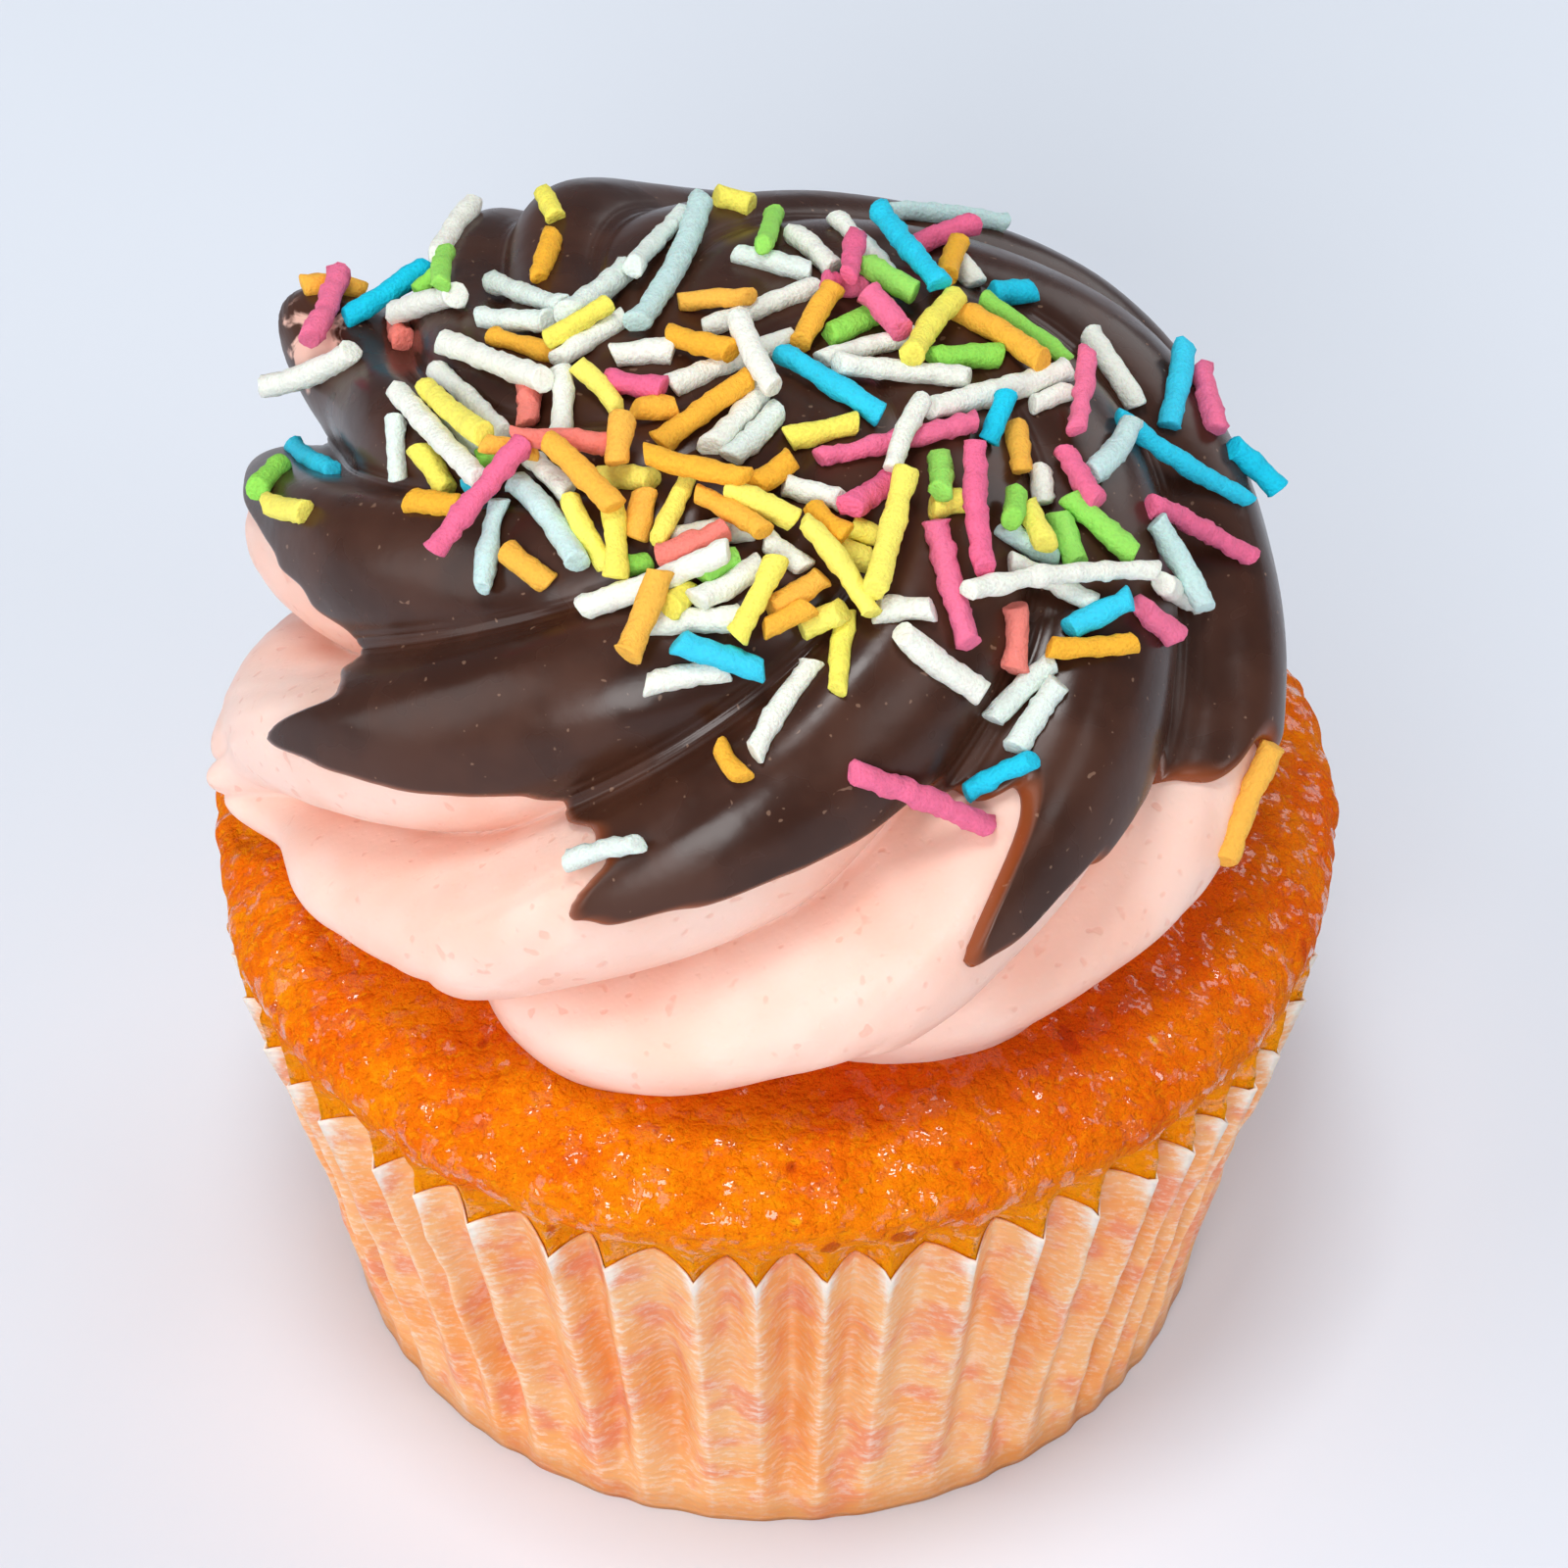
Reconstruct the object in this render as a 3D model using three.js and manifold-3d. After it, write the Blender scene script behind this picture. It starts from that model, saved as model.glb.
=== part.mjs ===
// Cupcake in a pleated paper case: sponge, piped buttercream and a poured chocolate coat with sprinkles.
// Millimetres, +Z up, origin on the table under the middle of the case.
import * as THREE from 'three';
import { mergeVertices } from 'three/addons/utils/BufferGeometryUtils.js';
import Module from 'manifold-3d';

const wasm = await Module();
wasm.setup();

const GAP = 0.3;                  // air kept between neighbouring pieces

// Paper case
const CASE_HEIGHT = 29.5;
const CASE_BASE_RADIUS = 27.9;    // outer folds at the table
const CASE_RIM_RADIUS = 34;       // outer folds at the rim
const CASE_FLARE = 1.18;          // above 1 the wall opens more towards the rim
const PLEATS = 52;
const PLEAT_BASE_DEPTH = 0.5;
const PLEAT_RIM_DEPTH = 2.7;
const PAPER = 0.6;                // wall measured along the radius, about 0.35 across a pleat
const CASE_FLOOR = 0.4;
const CASE_LEVELS = [0, 0.45, 0.75, 1];   // shares of the height where the wall bends

// Sponge
const CAKE_RADIUS = 34.4;         // widest ring, above the paper rim
const CAKE_WIDEST_HEIGHT = 34.5;
const DOME_RISE = 6;
const CAKE_SIDES = 44;

// Buttercream swirl, drawn as a radius from one middle point against azimuth and elevation
const SWIRL_MIDDLE = new THREE.Vector3(-1.0, 0.8, 42.6);
const SWIRL_FOOT = -9;            // elevation of the foot, degrees
const SWIRL_TOP_RADIUS = 26.4;
const SWIRL_BULGE = 5.6;          // extra radius of the flank, greatest at BULGE_ELEVATION
const BULGE_ELEVATION = 12;
const FOOT_TUCK = 3.4;            // the foot curls in by this much
const GROOVE_DEPTH = 7;
const GROOVE_ELEVATION = 15;      // where the grooves are deepest
const TWIST_RATE = 0.42;          // turn of the ridges, degrees per degree of elevation
const TWIST_GAIN = 0.013;         // and how fast that grows
const RIDGES = [141, 183, 226, 274, 326, 373, 409, 442, 471];   // foot azimuth of each ridge
const COLUMNS_PER_RIDGE = 8;
const PINK_LEVELS = 4;            // rings from the foot to the chocolate edge
const COAT_LEVELS = 9;            // rings from the chocolate edge to the top
const BUMPS = [                   // azimuth, elevation, their half widths, height
  [188, -4, 8, 5.5, 6.8],         // pulled tail at the left
  [207, -3, 14, 8, 1.3],          // wide front left lobe
  [262, -5, 25, 8, 1.5],          // front lobe, squeezed out over the sponge
  [151, 29, 9, 8, 5.0],           // knob at the back left
  [122, 42, 16, 14, 2.0],         // back hump
  [35, 28, 25, 16, 1.6],          // right shoulder
  [0, 2, 22, 14, -1.2],           // right side, drawn in
  [172, 16, 12, 9, 1.5],          // left flank
];

// Chocolate coat
const COAT = 1.3;                 // thickness over a ridge, with the gap below it
const GROOVE_FILL = 0.2;          // share of the groove the chocolate fills
const EDGE_AT_RIDGE = [25, 20, 19, 15, 12, 10, 9, 9, 13];      // elevation of each tongue tip
const EDGE_IN_GROOVE = [30, 28, 30, 23, 12, 15, 17, 17, 19];   // of the edge down in the groove after it
const EDGE_PAST_GROOVE = [30, 28, 30, 16, 12, 15, 17, 17, 19]; // and where it climbs the next ridge

// Sprinkles
const SPRINKLES = 112;            // in the heap
const SPRINKLES_DRAWN = 84;       // the largest, which are solid here
const SPRINKLE_RADIUS = 0.75;
const SPRINKLE_LENGTHS = [9, 3];  // longest and shortest
const SPRINKLE_SINK = 0.35;
const SPRINKLE_SIDES = 5;
const HEAP = { x: 1.5, y: -3.5, across: 20.5, deep: 16.5, crowd: 0.62 };
const SEED = 20;

const rad = THREE.MathUtils.degToRad;
const clamp = THREE.MathUtils.clamp;
const ease = (from, to, value) => THREE.MathUtils.smoothstep(value, from, to);

// Closed solid from rings of equal point count, a single point at either end. The first
// `downward` bands split the other way, so a nested pair of skins has the same facets.
function skin(rings, downward = 0) {
  const index = [];
  const starts = [];
  const points = [];
  for (const ring of rings) {
    starts.push(points.length);
    points.push(...ring);
  }
  const count = Math.max(...rings.map((ring) => ring.length));
  for (let band = 0; band + 1 < rings.length; band += 1) {
    const low = (i) => starts[band] + (rings[band].length === 1 ? 0 : i % count);
    const high = (i) => starts[band + 1] + (rings[band + 1].length === 1 ? 0 : i % count);
    for (let i = 0; i < count; i += 1) {
      const corners = band < downward
        ? [[low(i), low(i + 1), high(i + 1)], [low(i), high(i + 1), high(i)]]
        : [[low(i), low(i + 1), high(i)], [low(i + 1), high(i + 1), high(i)]];
      for (const face of corners) if (new Set(face).size === 3) index.push(...face);
    }
  }
  const geometry = new THREE.BufferGeometry();
  geometry.setAttribute('position', new THREE.Float32BufferAttribute(points.flatMap((p) => p.toArray()), 3));
  geometry.setIndex(index);
  return geometry;
}

function polar(radius, azimuth, height) {
  return new THREE.Vector3(radius * Math.cos(rad(azimuth)), radius * Math.sin(rad(azimuth)), height);
}

function ringOf(count, place) {
  return Array.from({ length: count }, (_, i) => place(i, (360 * i) / count));
}

// Paper case

function caseRadius(height, share) {
  const rise = clamp(height / CASE_HEIGHT, 0, 1);
  const outer = CASE_BASE_RADIUS + (CASE_RIM_RADIUS - CASE_BASE_RADIUS) * rise ** CASE_FLARE;
  return outer - share * (PLEAT_BASE_DEPTH + (PLEAT_RIM_DEPTH - PLEAT_BASE_DEPTH) * rise ** 0.8);
}

function paperCase() {
  const wall = (height, inset) =>
    ringOf(PLEATS * 2, (i, azimuth) => polar(caseRadius(height, i % 2) - inset, azimuth, height));
  const heights = CASE_LEVELS.map((share) => share * CASE_HEIGHT);
  const outside = heights.map((height) => wall(height, 0));
  const inside = [...heights.slice(1).reverse(), CASE_FLOOR].map((height) => wall(height, PAPER));
  return skin([[polar(0, 0, 0)], ...outside, ...inside, [polar(0, 0, CASE_FLOOR)]]);
}

// Sponge

function domeHeight(radius) {
  const fall = clamp(1 - (radius / CAKE_RADIUS) ** 2.6, 0, 1);
  return CAKE_WIDEST_HEIGHT + DOME_RISE * fall ** (1 / 1.8);
}

function sponge() {
  const floor = CASE_FLOOR + GAP;
  const inside = (height) => caseRadius(height, 1) - PAPER - GAP;
  const lip = CASE_HEIGHT + GAP;
  const profile = [
    ...[floor, CASE_LEVELS[1] * CASE_HEIGHT, CASE_LEVELS[2] * CASE_HEIGHT, lip].map((height) => [
      inside(height), height]),
    ...[0.2, 0.45, 0.7].map((share) => [
      inside(lip) + (CAKE_RADIUS - inside(lip)) * Math.sin(rad(90 * share)),
      lip + (CAKE_WIDEST_HEIGHT - lip) * share]),
    ...[1, 0.985, 0.95, 0.89, 0.8, 0.68, 0.5, 0.25].map((share) => [
      CAKE_RADIUS * share, domeHeight(CAKE_RADIUS * share)]),
  ];
  const uneven = (azimuth) => 0.25 * Math.sin(rad(3 * azimuth + 40)) + 0.15 * Math.sin(rad(7 * azimuth));
  const rings = profile.map(([radius, height]) => ringOf(CAKE_SIDES, (_, azimuth) =>
    polar(radius + (height > CASE_HEIGHT && radius > 33 ? uneven(azimuth) : 0), azimuth, height)));
  return skin([[polar(0, 0, floor)], ...rings, [polar(0, 0, domeHeight(0))]]);
}

// Buttercream

function twist(elevation) {
  const climb = elevation - SWIRL_FOOT;
  return TWIST_RATE * climb + TWIST_GAIN * climb * climb;
}

// The groove after a ridge lies close under it at the foot and falls behind higher up.
const grooveShare = (elevation) => 0.06 + 0.6 * ease(-8, 22, elevation);

function ridgeProfile(share, elevation) {
  const groove = grooveShare(elevation);
  const fall = Math.cos(rad(90) * clamp(share / groove, 0, 1));
  const rise = Math.sin(rad(90) * clamp((share - groove) / (1 - groove), 0, 1));
  const ridge = Math.max(0, share <= groove ? fall : rise) ** 0.7;
  const round = Math.max(0, Math.sin(Math.PI * share)) ** 0.6;
  return THREE.MathUtils.lerp(round, ridge, ease(-9, 8, elevation));
}

function swirlRadius(azimuth, share, elevation, filled = 0) {
  const bulge = SWIRL_BULGE * Math.cos(rad(elevation - BULGE_ELEVATION)) ** 2;
  const tuck = FOOT_TUCK * (1 - ease(SWIRL_FOOT, 4, elevation));
  const depth = GROOVE_DEPTH * Math.cos(rad(1.2 * (elevation - GROOVE_ELEVATION))) ** 2;
  let radius = SWIRL_TOP_RADIUS + bulge - tuck;
  radius -= depth * (1 - filled) * (1 - ridgeProfile(share, elevation));
  for (const [az, el, wide, tall, height] of BUMPS) {
    const turn = ((((azimuth - az + 180) % 360) + 360) % 360) - 180;
    radius += height * Math.exp(-((turn / wide) ** 2) - ((elevation - el) / tall) ** 2);
  }
  return radius;
}

const coatRadius = (azimuth, share, elevation) =>
  swirlRadius(azimuth, share, elevation, GROOVE_FILL) + GAP + COAT;

function onSwirl(radius, azimuth, elevation) {
  const flat = radius * Math.cos(rad(elevation));
  return polar(flat, azimuth, radius * Math.sin(rad(elevation))).add(SWIRL_MIDDLE);
}

function ridgeGap(ridge) {
  return (ridge + 1 < RIDGES.length ? RIDGES[ridge + 1] : RIDGES[0] + 360) - RIDGES[ridge];
}

// Ridge number and share of the way to the next one, for a direction seen from the middle.
function ridgeAt(azimuth, elevation) {
  const phase = ((((azimuth - twist(elevation) - RIDGES[0]) % 360) + 360) % 360) + RIDGES[0];
  let ridge = RIDGES.length - 1;
  while (RIDGES[ridge] > phase) ridge -= 1;
  return { ridge, share: (phase - RIDGES[ridge]) / ridgeGap(ridge) };
}

function coatEdge(ridge, share) {
  const tip = EDGE_AT_RIDGE[ridge];
  const next = EDGE_AT_RIDGE[(ridge + 1) % RIDGES.length];
  const high = EDGE_IN_GROOVE[ridge];
  const past = EDGE_PAST_GROOVE[ridge];
  const turn = 0.62;
  return share < turn
    ? tip + (high - tip) * (share / turn) ** 0.8
    : past + (next - past) * ((share - turn) / (1 - turn)) ** 3;
}

// Columns follow the ridges and grooves up the swirl: half of them before the groove, half after.
function columnPlace(column, elevation) {
  const ridge = Math.floor(column / COLUMNS_PER_RIDGE);
  const step = (column % COLUMNS_PER_RIDGE) / COLUMNS_PER_RIDGE;
  const groove = grooveShare(elevation);
  const share = step < 0.5 ? groove * step * 2 : groove + (1 - groove) * (step - 0.5) * 2;
  return { ridge, share, azimuth: RIDGES[ridge] + ridgeGap(ridge) * share + twist(elevation) };
}

function columnEdge(column) {
  let edge = 15;
  for (let i = 0; i < 6; i += 1) {
    const { ridge, share } = columnPlace(column, edge);
    edge = coatEdge(ridge, share);
  }
  return edge;
}

// The foot of each column stands just clear of the sponge.
function columnFoot(column) {
  let low = SWIRL_FOOT;
  let high = 5;
  const clear = (elevation) => {
    const { azimuth, share } = columnPlace(column, elevation);
    const point = onSwirl(swirlRadius(azimuth, share, elevation), azimuth, elevation);
    return point.z - domeHeight(Math.hypot(point.x, point.y)) - GAP;
  };
  if (clear(low) > 0) return low;
  for (let i = 0; i < 24; i += 1) {
    const middle = (low + high) / 2;
    if (clear(middle) > 0) high = middle; else low = middle;
  }
  return high;
}

const COLUMNS = Array.from({ length: RIDGES.length * COLUMNS_PER_RIDGE }, (_, column) => ({
  column, foot: columnFoot(column), edge: columnEdge(column),
}));

function swirlRing(level, radiusAt) {
  return COLUMNS.map(({ column, foot, edge }) => {
    const elevation = level < PINK_LEVELS
      ? foot + ((edge - foot) * level) / PINK_LEVELS
      : edge + ((90 - edge) * (level - PINK_LEVELS)) / COAT_LEVELS;
    const { azimuth, share } = columnPlace(column, elevation);
    return onSwirl(radiusAt(azimuth, share, elevation), azimuth, elevation);
  });
}

const levels = (from, to) => Array.from({ length: to - from }, (_, i) => from + i);
const LAST_RING = PINK_LEVELS + COAT_LEVELS;

function buttercream() {
  const outside = levels(0, LAST_RING).map((level) => swirlRing(level, swirlRadius));
  const under = [0.3, 0.6, 0.8, 0.92].map((share) => outside[0].map((foot) => {
    const radius = Math.hypot(foot.x, foot.y) * share;
    const azimuth = THREE.MathUtils.radToDeg(Math.atan2(foot.y, foot.x));
    return polar(radius, azimuth, domeHeight(radius) + GAP);
  }));
  const top = onSwirl(swirlRadius(0, 0, 90), 0, 90);
  return skin([[polar(0, 0, domeHeight(0) + GAP)], ...under, ...outside, [top]]);
}

// Chocolate

function coatShell() {
  const rings = levels(PINK_LEVELS, LAST_RING);
  const under = (azimuth, share, elevation) => swirlRadius(azimuth, share, elevation) + GAP;
  const inside = rings.map((level) => swirlRing(level, under)).reverse();
  const outside = rings.map((level) => swirlRing(level, coatRadius));
  const bottom = onSwirl(under(0, 0, 90), 0, 90);
  const top = onSwirl(coatRadius(0, 0, 90), 0, 90);
  return skin([[bottom], ...inside, ...outside, [top]], inside.length);
}

// Sprinkles

function randoms(seed) {
  let state = seed;
  return () => {
    state = (Math.imul(state, 1664525) + 1013904223) >>> 0;
    return state / 4294967296;
  };
}

// Point of the coat in the direction of a given point, and how far the coat is inside its edge there.
function underPoint(point) {
  const ray = point.clone().sub(SWIRL_MIDDLE);
  const elevation = THREE.MathUtils.radToDeg(Math.atan2(ray.z, Math.hypot(ray.x, ray.y)));
  const azimuth = THREE.MathUtils.radToDeg(Math.atan2(ray.y, ray.x));
  const { ridge, share } = ridgeAt(azimuth, elevation);
  const place = onSwirl(coatRadius(azimuth, share, elevation), azimuth, elevation);
  return { place, inside: elevation - coatEdge(ridge, share) };
}

function coatBelow(x, y) {
  let point = new THREE.Vector3(x, y, SWIRL_MIDDLE.z + 20);
  for (let i = 0; i < 30; i += 1) {
    const { place } = underPoint(point);
    point = new THREE.Vector3(x, y, point.z + 0.6 * (place.z - point.z));
  }
  return point;
}

function coatNormal(point) {
  const step = 1.2;
  const [east, west, north, south] = [[1, 0], [-1, 0], [0, 1], [0, -1]].map(([dx, dy]) =>
    underPoint(point.clone().add(new THREE.Vector3(dx * step, dy * step, 0))).place);
  return east.sub(west).cross(north.sub(south)).normalize();
}

// Points along a sprinkle's middle line, bowed sideways by its bend.
const spine = (place, steps = 2) => Array.from({ length: steps + 1 }, (_, i) => i / steps - 0.5).map((share) =>
  place.middle.clone().addScaledVector(place.along, share * place.length)
    .addScaledVector(place.side, place.bend * (1 - 4 * share * share)));

function closest(one, other) {
  let least = Infinity;
  for (let i = 0; i <= 8; i += 1) {
    const point = one[0].clone().lerp(one[2], i / 8);
    const line = new THREE.Line3(other[0], other[2]);
    least = Math.min(least, point.distanceTo(line.closestPointToPoint(point, true, new THREE.Vector3())));
  }
  return least;
}

// Lays one sprinkle along the coat: it rests on the highest spot below it.
function laySprinkle(next, length) {
  const turn = 2 * Math.PI * next();
  const reach = next() ** HEAP.crowd;
  const x = HEAP.x + HEAP.across * reach * Math.cos(turn);
  const y = HEAP.y + HEAP.deep * reach * Math.sin(turn);
  const heading = Math.PI * next();
  const bend = (next() - 0.5) * 0.09 * length;
  const middle = coatBelow(x, y);
  const normal = coatNormal(middle);
  const along = new THREE.Vector3(Math.cos(heading), Math.sin(heading), 0);
  along.addScaledVector(normal, -along.dot(normal)).normalize();
  const place = { middle, along, length, bend, normal, side: normal.clone().cross(along) };
  let below;
  for (let pass = 0; pass < 3; pass += 1) {
    below = spine(place, 8).map((point) => ({ point, ...underPoint(point) }));
    const lift = Math.max(...below.map(({ point, place: spot }) => spot.clone().sub(point).dot(normal)));
    middle.addScaledVector(normal, lift);
  }
  middle.addScaledVector(normal, SPRINKLE_RADIUS - SPRINKLE_SINK);
  return Math.min(...below.map(({ inside }) => inside)) > 5 ? place : null;
}

// Longest first; a sprinkle that meets an earlier one climbs onto it, and a third layer is left out.
function scatter() {
  const next = randoms(SEED);
  const places = [];
  for (let tries = 0; tries < 4000 && places.length < SPRINKLES_DRAWN; tries += 1) {
    const share = (places.length / SPRINKLES) ** 0.8;
    const place = laySprinkle(next, SPRINKLE_LENGTHS[0] + (SPRINKLE_LENGTHS[1] - SPRINKLE_LENGTHS[0]) * share);
    if (!place) continue;
    const touching = () => places.filter((other) => closest(spine(place), spine(other)) < 1.6 * SPRINKLE_RADIUS);
    const under = touching();
    if (under.some((other) => other.layer) || under.length > 2) continue;
    if (under.length) place.middle.addScaledVector(place.normal, 1.3 * SPRINKLE_RADIUS);
    place.layer = under.length ? 1 : 0;
    places.push(place);
  }
  return places;
}

function sprinkle(place) {
  const points = spine(place);
  const ends = [-0.58, 0.58].map((share) =>
    place.middle.clone().addScaledVector(place.along, share * place.length));
  const ring = (point) => ringOf(SPRINKLE_SIDES, (_, angle) => point.clone()
    .addScaledVector(place.side, SPRINKLE_RADIUS * Math.cos(rad(angle)))
    .addScaledVector(place.normal, SPRINKLE_RADIUS * Math.sin(rad(angle))));
  const rings = Math.abs(place.bend) > 0.12 ? points : [points[0], points[2]];
  return skin([[ends[0]], ...rings.map(ring), [ends[1]]]);
}

function toManifold(geometry) {
  const merged = mergeVertices(geometry, 1e-5);
  return new wasm.Manifold(new wasm.Mesh({
    numProp: 3,
    vertProperties: new Float32Array(merged.attributes.position.array),
    triVerts: new Uint32Array(merged.index.array),
  }));
}

function fromManifold(solid) {
  const mesh = solid.getMesh();
  const geometry = new THREE.BufferGeometry();
  geometry.setAttribute('position', new THREE.Float32BufferAttribute(mesh.vertProperties, 3));
  geometry.setIndex([...mesh.triVerts]);
  return geometry;
}

// The coat with its sprinkles; one that would pierce through to the buttercream is left out.
function chocolateCoat(cream) {
  const below = toManifold(cream);
  const laid = scatter().map((place) => toManifold(sprinkle(place)));
  const whole = wasm.Manifold.union(
    [toManifold(coatShell()), ...laid.filter((solid) => below.intersect(solid).isEmpty())]);
  const largest = whole.decompose().sort((a, b) => b.volume() - a.volume())[0];
  return fromManifold(largest);
}

function piece(name, geometry, color, roughness) {
  geometry.computeVertexNormals();
  const mesh = new THREE.Mesh(geometry, new THREE.MeshStandardMaterial({ color, roughness, metalness: 0 }));
  mesh.name = name;
  return mesh;
}

const group = new THREE.Group();
group.name = 'cupcake';
group.add(piece('paper_case', paperCase(), 0xe9b48c, 0.75));
group.add(piece('sponge_cake', sponge(), 0xe07b16, 0.5));
const cream = buttercream();
group.add(piece('buttercream', cream, 0xfbd6c8, 0.55));
group.add(piece('chocolate_coat', chocolateCoat(cream), 0x45302b, 0.35));

export default group;
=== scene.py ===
"""A cupcake: pleated paper case, orange sponge, piped buttercream, poured chocolate and sugar sprinkles.

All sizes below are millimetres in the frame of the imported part; meshes are written in metres.
"""
import logging
import math
from dataclasses import dataclass, field
from enum import Enum
from typing import Any, Iterator, Sequence

import bpy
import numpy as np
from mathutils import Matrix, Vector


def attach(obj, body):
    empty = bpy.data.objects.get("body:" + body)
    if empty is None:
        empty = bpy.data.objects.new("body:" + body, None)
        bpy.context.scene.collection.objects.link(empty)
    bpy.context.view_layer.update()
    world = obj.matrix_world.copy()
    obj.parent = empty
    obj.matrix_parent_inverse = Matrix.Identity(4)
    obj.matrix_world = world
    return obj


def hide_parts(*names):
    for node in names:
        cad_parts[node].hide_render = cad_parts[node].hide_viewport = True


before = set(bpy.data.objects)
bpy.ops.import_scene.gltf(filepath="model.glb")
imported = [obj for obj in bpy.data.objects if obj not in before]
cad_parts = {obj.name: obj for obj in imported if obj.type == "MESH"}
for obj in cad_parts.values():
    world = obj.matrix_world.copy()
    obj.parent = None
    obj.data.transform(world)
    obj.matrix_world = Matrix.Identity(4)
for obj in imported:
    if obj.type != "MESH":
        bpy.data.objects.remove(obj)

LOG = logging.getLogger("cupcake")
MM = 0.001
ROOT = "root"
NOISE = "ShaderNodeTexNoise"
CELLS = "ShaderNodeTexVoronoi"
RANGE = "ShaderNodeMapRange"
MATH = "ShaderNodeMath"
MARK = "ShaderNodeAttribute"
Array = np.ndarray
Tree = bpy.types.NodeTree
Socket = bpy.types.NodeSocket
Faces = list[Sequence[int]]
Layers = tuple[tuple[float, float, int], ...]
Tint = tuple[Socket, float, float, float, tuple[float, ...]]
Bump = tuple[Socket, float, float]


# Small tools


def linear(colour: str) -> tuple[float, float, float, float]:
    """Turns an sRGB hex colour into linear RGBA.

    Args:
        colour: six hex digits, with or without a leading hash.

    Returns:
        Linear red, green and blue, and an alpha of one.
    """
    digits = colour.lstrip("#")
    channels = [int(digits[i:i + 2], 16) / 255 for i in (0, 2, 4)]
    values = [c / 12.92 if c <= 0.04045 else ((c + 0.055) / 1.055) ** 2.4 for c in channels]
    return values[0], values[1], values[2], 1.0


def ease(low: float, high: float, value: Array) -> Array:
    """Smooth step from 0 at low to 1 at high.

    Args:
        low: where the step begins.
        high: where it ends.
        value: what is stepped.

    Returns:
        The eased share, 0 to 1.
    """
    share = np.clip((value - low) / (high - low), 0.0, 1.0)
    return share * share * (3 - 2 * share)


def grain(points: Array, size: float, seed: float) -> Array:
    """Smooth value noise in space.

    Args:
        points: positions in millimetres, last axis x, y, z.
        size: cell size in millimetres.
        seed: picks one pattern.

    Returns:
        Noise from -1 to 1, one value per point.
    """
    cell = np.floor(points / size)
    share = points / size - cell
    share = share * share * (3 - 2 * share)
    total = np.zeros(points.shape[:-1])
    for corner in np.ndindex(2, 2, 2):
        spot = cell + np.array(corner)
        wave = np.sin(spot @ np.array([127.1, 311.7, 74.7]) + 17.3 * seed) * 43758.5453
        weight = np.prod(np.where(np.array(corner) == 1, share, 1 - share), axis=-1)
        total += weight * (2 * (wave - np.floor(wave)) - 1)
    return total


def uneven(points: Array, layers: Layers) -> Array:
    """Sums layers of noise.

    Args:
        points: positions in millimetres.
        layers: height, cell size and seed of each layer.

    Returns:
        One height per point.
    """
    return sum(height * grain(points, size, seed) for height, size, seed in layers)


def polar(radius: Array, azimuth: Array, height: Array) -> Array:
    """Points from cylindrical coordinates.

    Args:
        radius: distance from the upright axis.
        azimuth: angle in degrees, counter-clockwise from +X.
        height: height above the table.

    Returns:
        Positions, last axis x, y, z.
    """
    angle = np.radians(azimuth)
    flat = np.broadcast_arrays(radius * np.cos(angle), radius * np.sin(angle), height)
    return np.stack(flat, axis=-1)


class Randoms:
    """A small seeded stream of numbers, the same on every machine."""

    def __init__(self, seed: int) -> None:
        """Starts the stream at a seed."""
        self.state = seed

    def __call__(self) -> float:
        """Next number, from 0 up to 1."""
        self.state = (self.state * 1664525 + 1013904223) & 0xFFFFFFFF
        return self.state / 4294967296


def make_piece(name: str, points: Array, faces: Faces, marks: dict[str, Array],
               finish: "Finish") -> bpy.types.Object:
    """Makes a smooth mesh object and dresses it.

    Args:
        name: the piece's name.
        points: positions in millimetres, one row each.
        faces: corner numbers of each face, outward by the right-hand rule.
        marks: named values per point that the material reads.
        finish: what it is made of.

    Returns:
        The new object, linked to the scene.
    """
    mesh = bpy.data.meshes.new(name)
    mesh.from_pydata((points * MM).tolist(), [], faces)
    for label, values in marks.items():
        layer = mesh.attributes.new(label, "FLOAT", "POINT")
        layer.data.foreach_set("value", np.ascontiguousarray(values, dtype=np.float32).ravel())
    mesh.polygons.foreach_set("use_smooth", np.ones(len(mesh.polygons), dtype=bool))
    mesh.update()
    piece = bpy.data.objects.new(name, mesh)
    bpy.context.scene.collection.objects.link(piece)
    mesh.materials.append(finish.material())
    return piece


def skin(rings: Array, first: Array, last: Array) -> tuple[Array, Faces]:
    """Closes a stack of rings into one skin.

    Args:
        rings: positions with axes ring, column, xyz, from the first pole to the last.
        first: the point that closes the first ring.
        last: the point that closes the last ring.

    Returns:
        The points, poles at the end, and the faces.
    """
    count, columns = rings.shape[:2]
    index = np.arange(count * columns).reshape(count, columns)
    turned = np.roll(index, -1, axis=1)
    quads = np.stack([index[:-1], turned[:-1], turned[1:], index[1:]], axis=-1).reshape(-1, 4)
    low, high = count * columns, count * columns + 1
    faces: Faces = quads.tolist()
    faces += [(low, int(b), int(a)) for a, b in zip(index[0], turned[0])]
    faces += [(int(a), int(b), high) for a, b in zip(index[-1], turned[-1])]
    return np.vstack([rings.reshape(-1, 3), first, last]), faces


def ring_marks(values: Array) -> Array:
    """Values per ring and column, with one more for each pole."""
    return np.concatenate([values.ravel(), values[0].mean(keepdims=True), values[-1].mean(keepdims=True)])


def per_mm(size: float) -> float:
    """Scale of a pattern whose marks have a size in millimetres."""
    return 1 / (size * MM)


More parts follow.
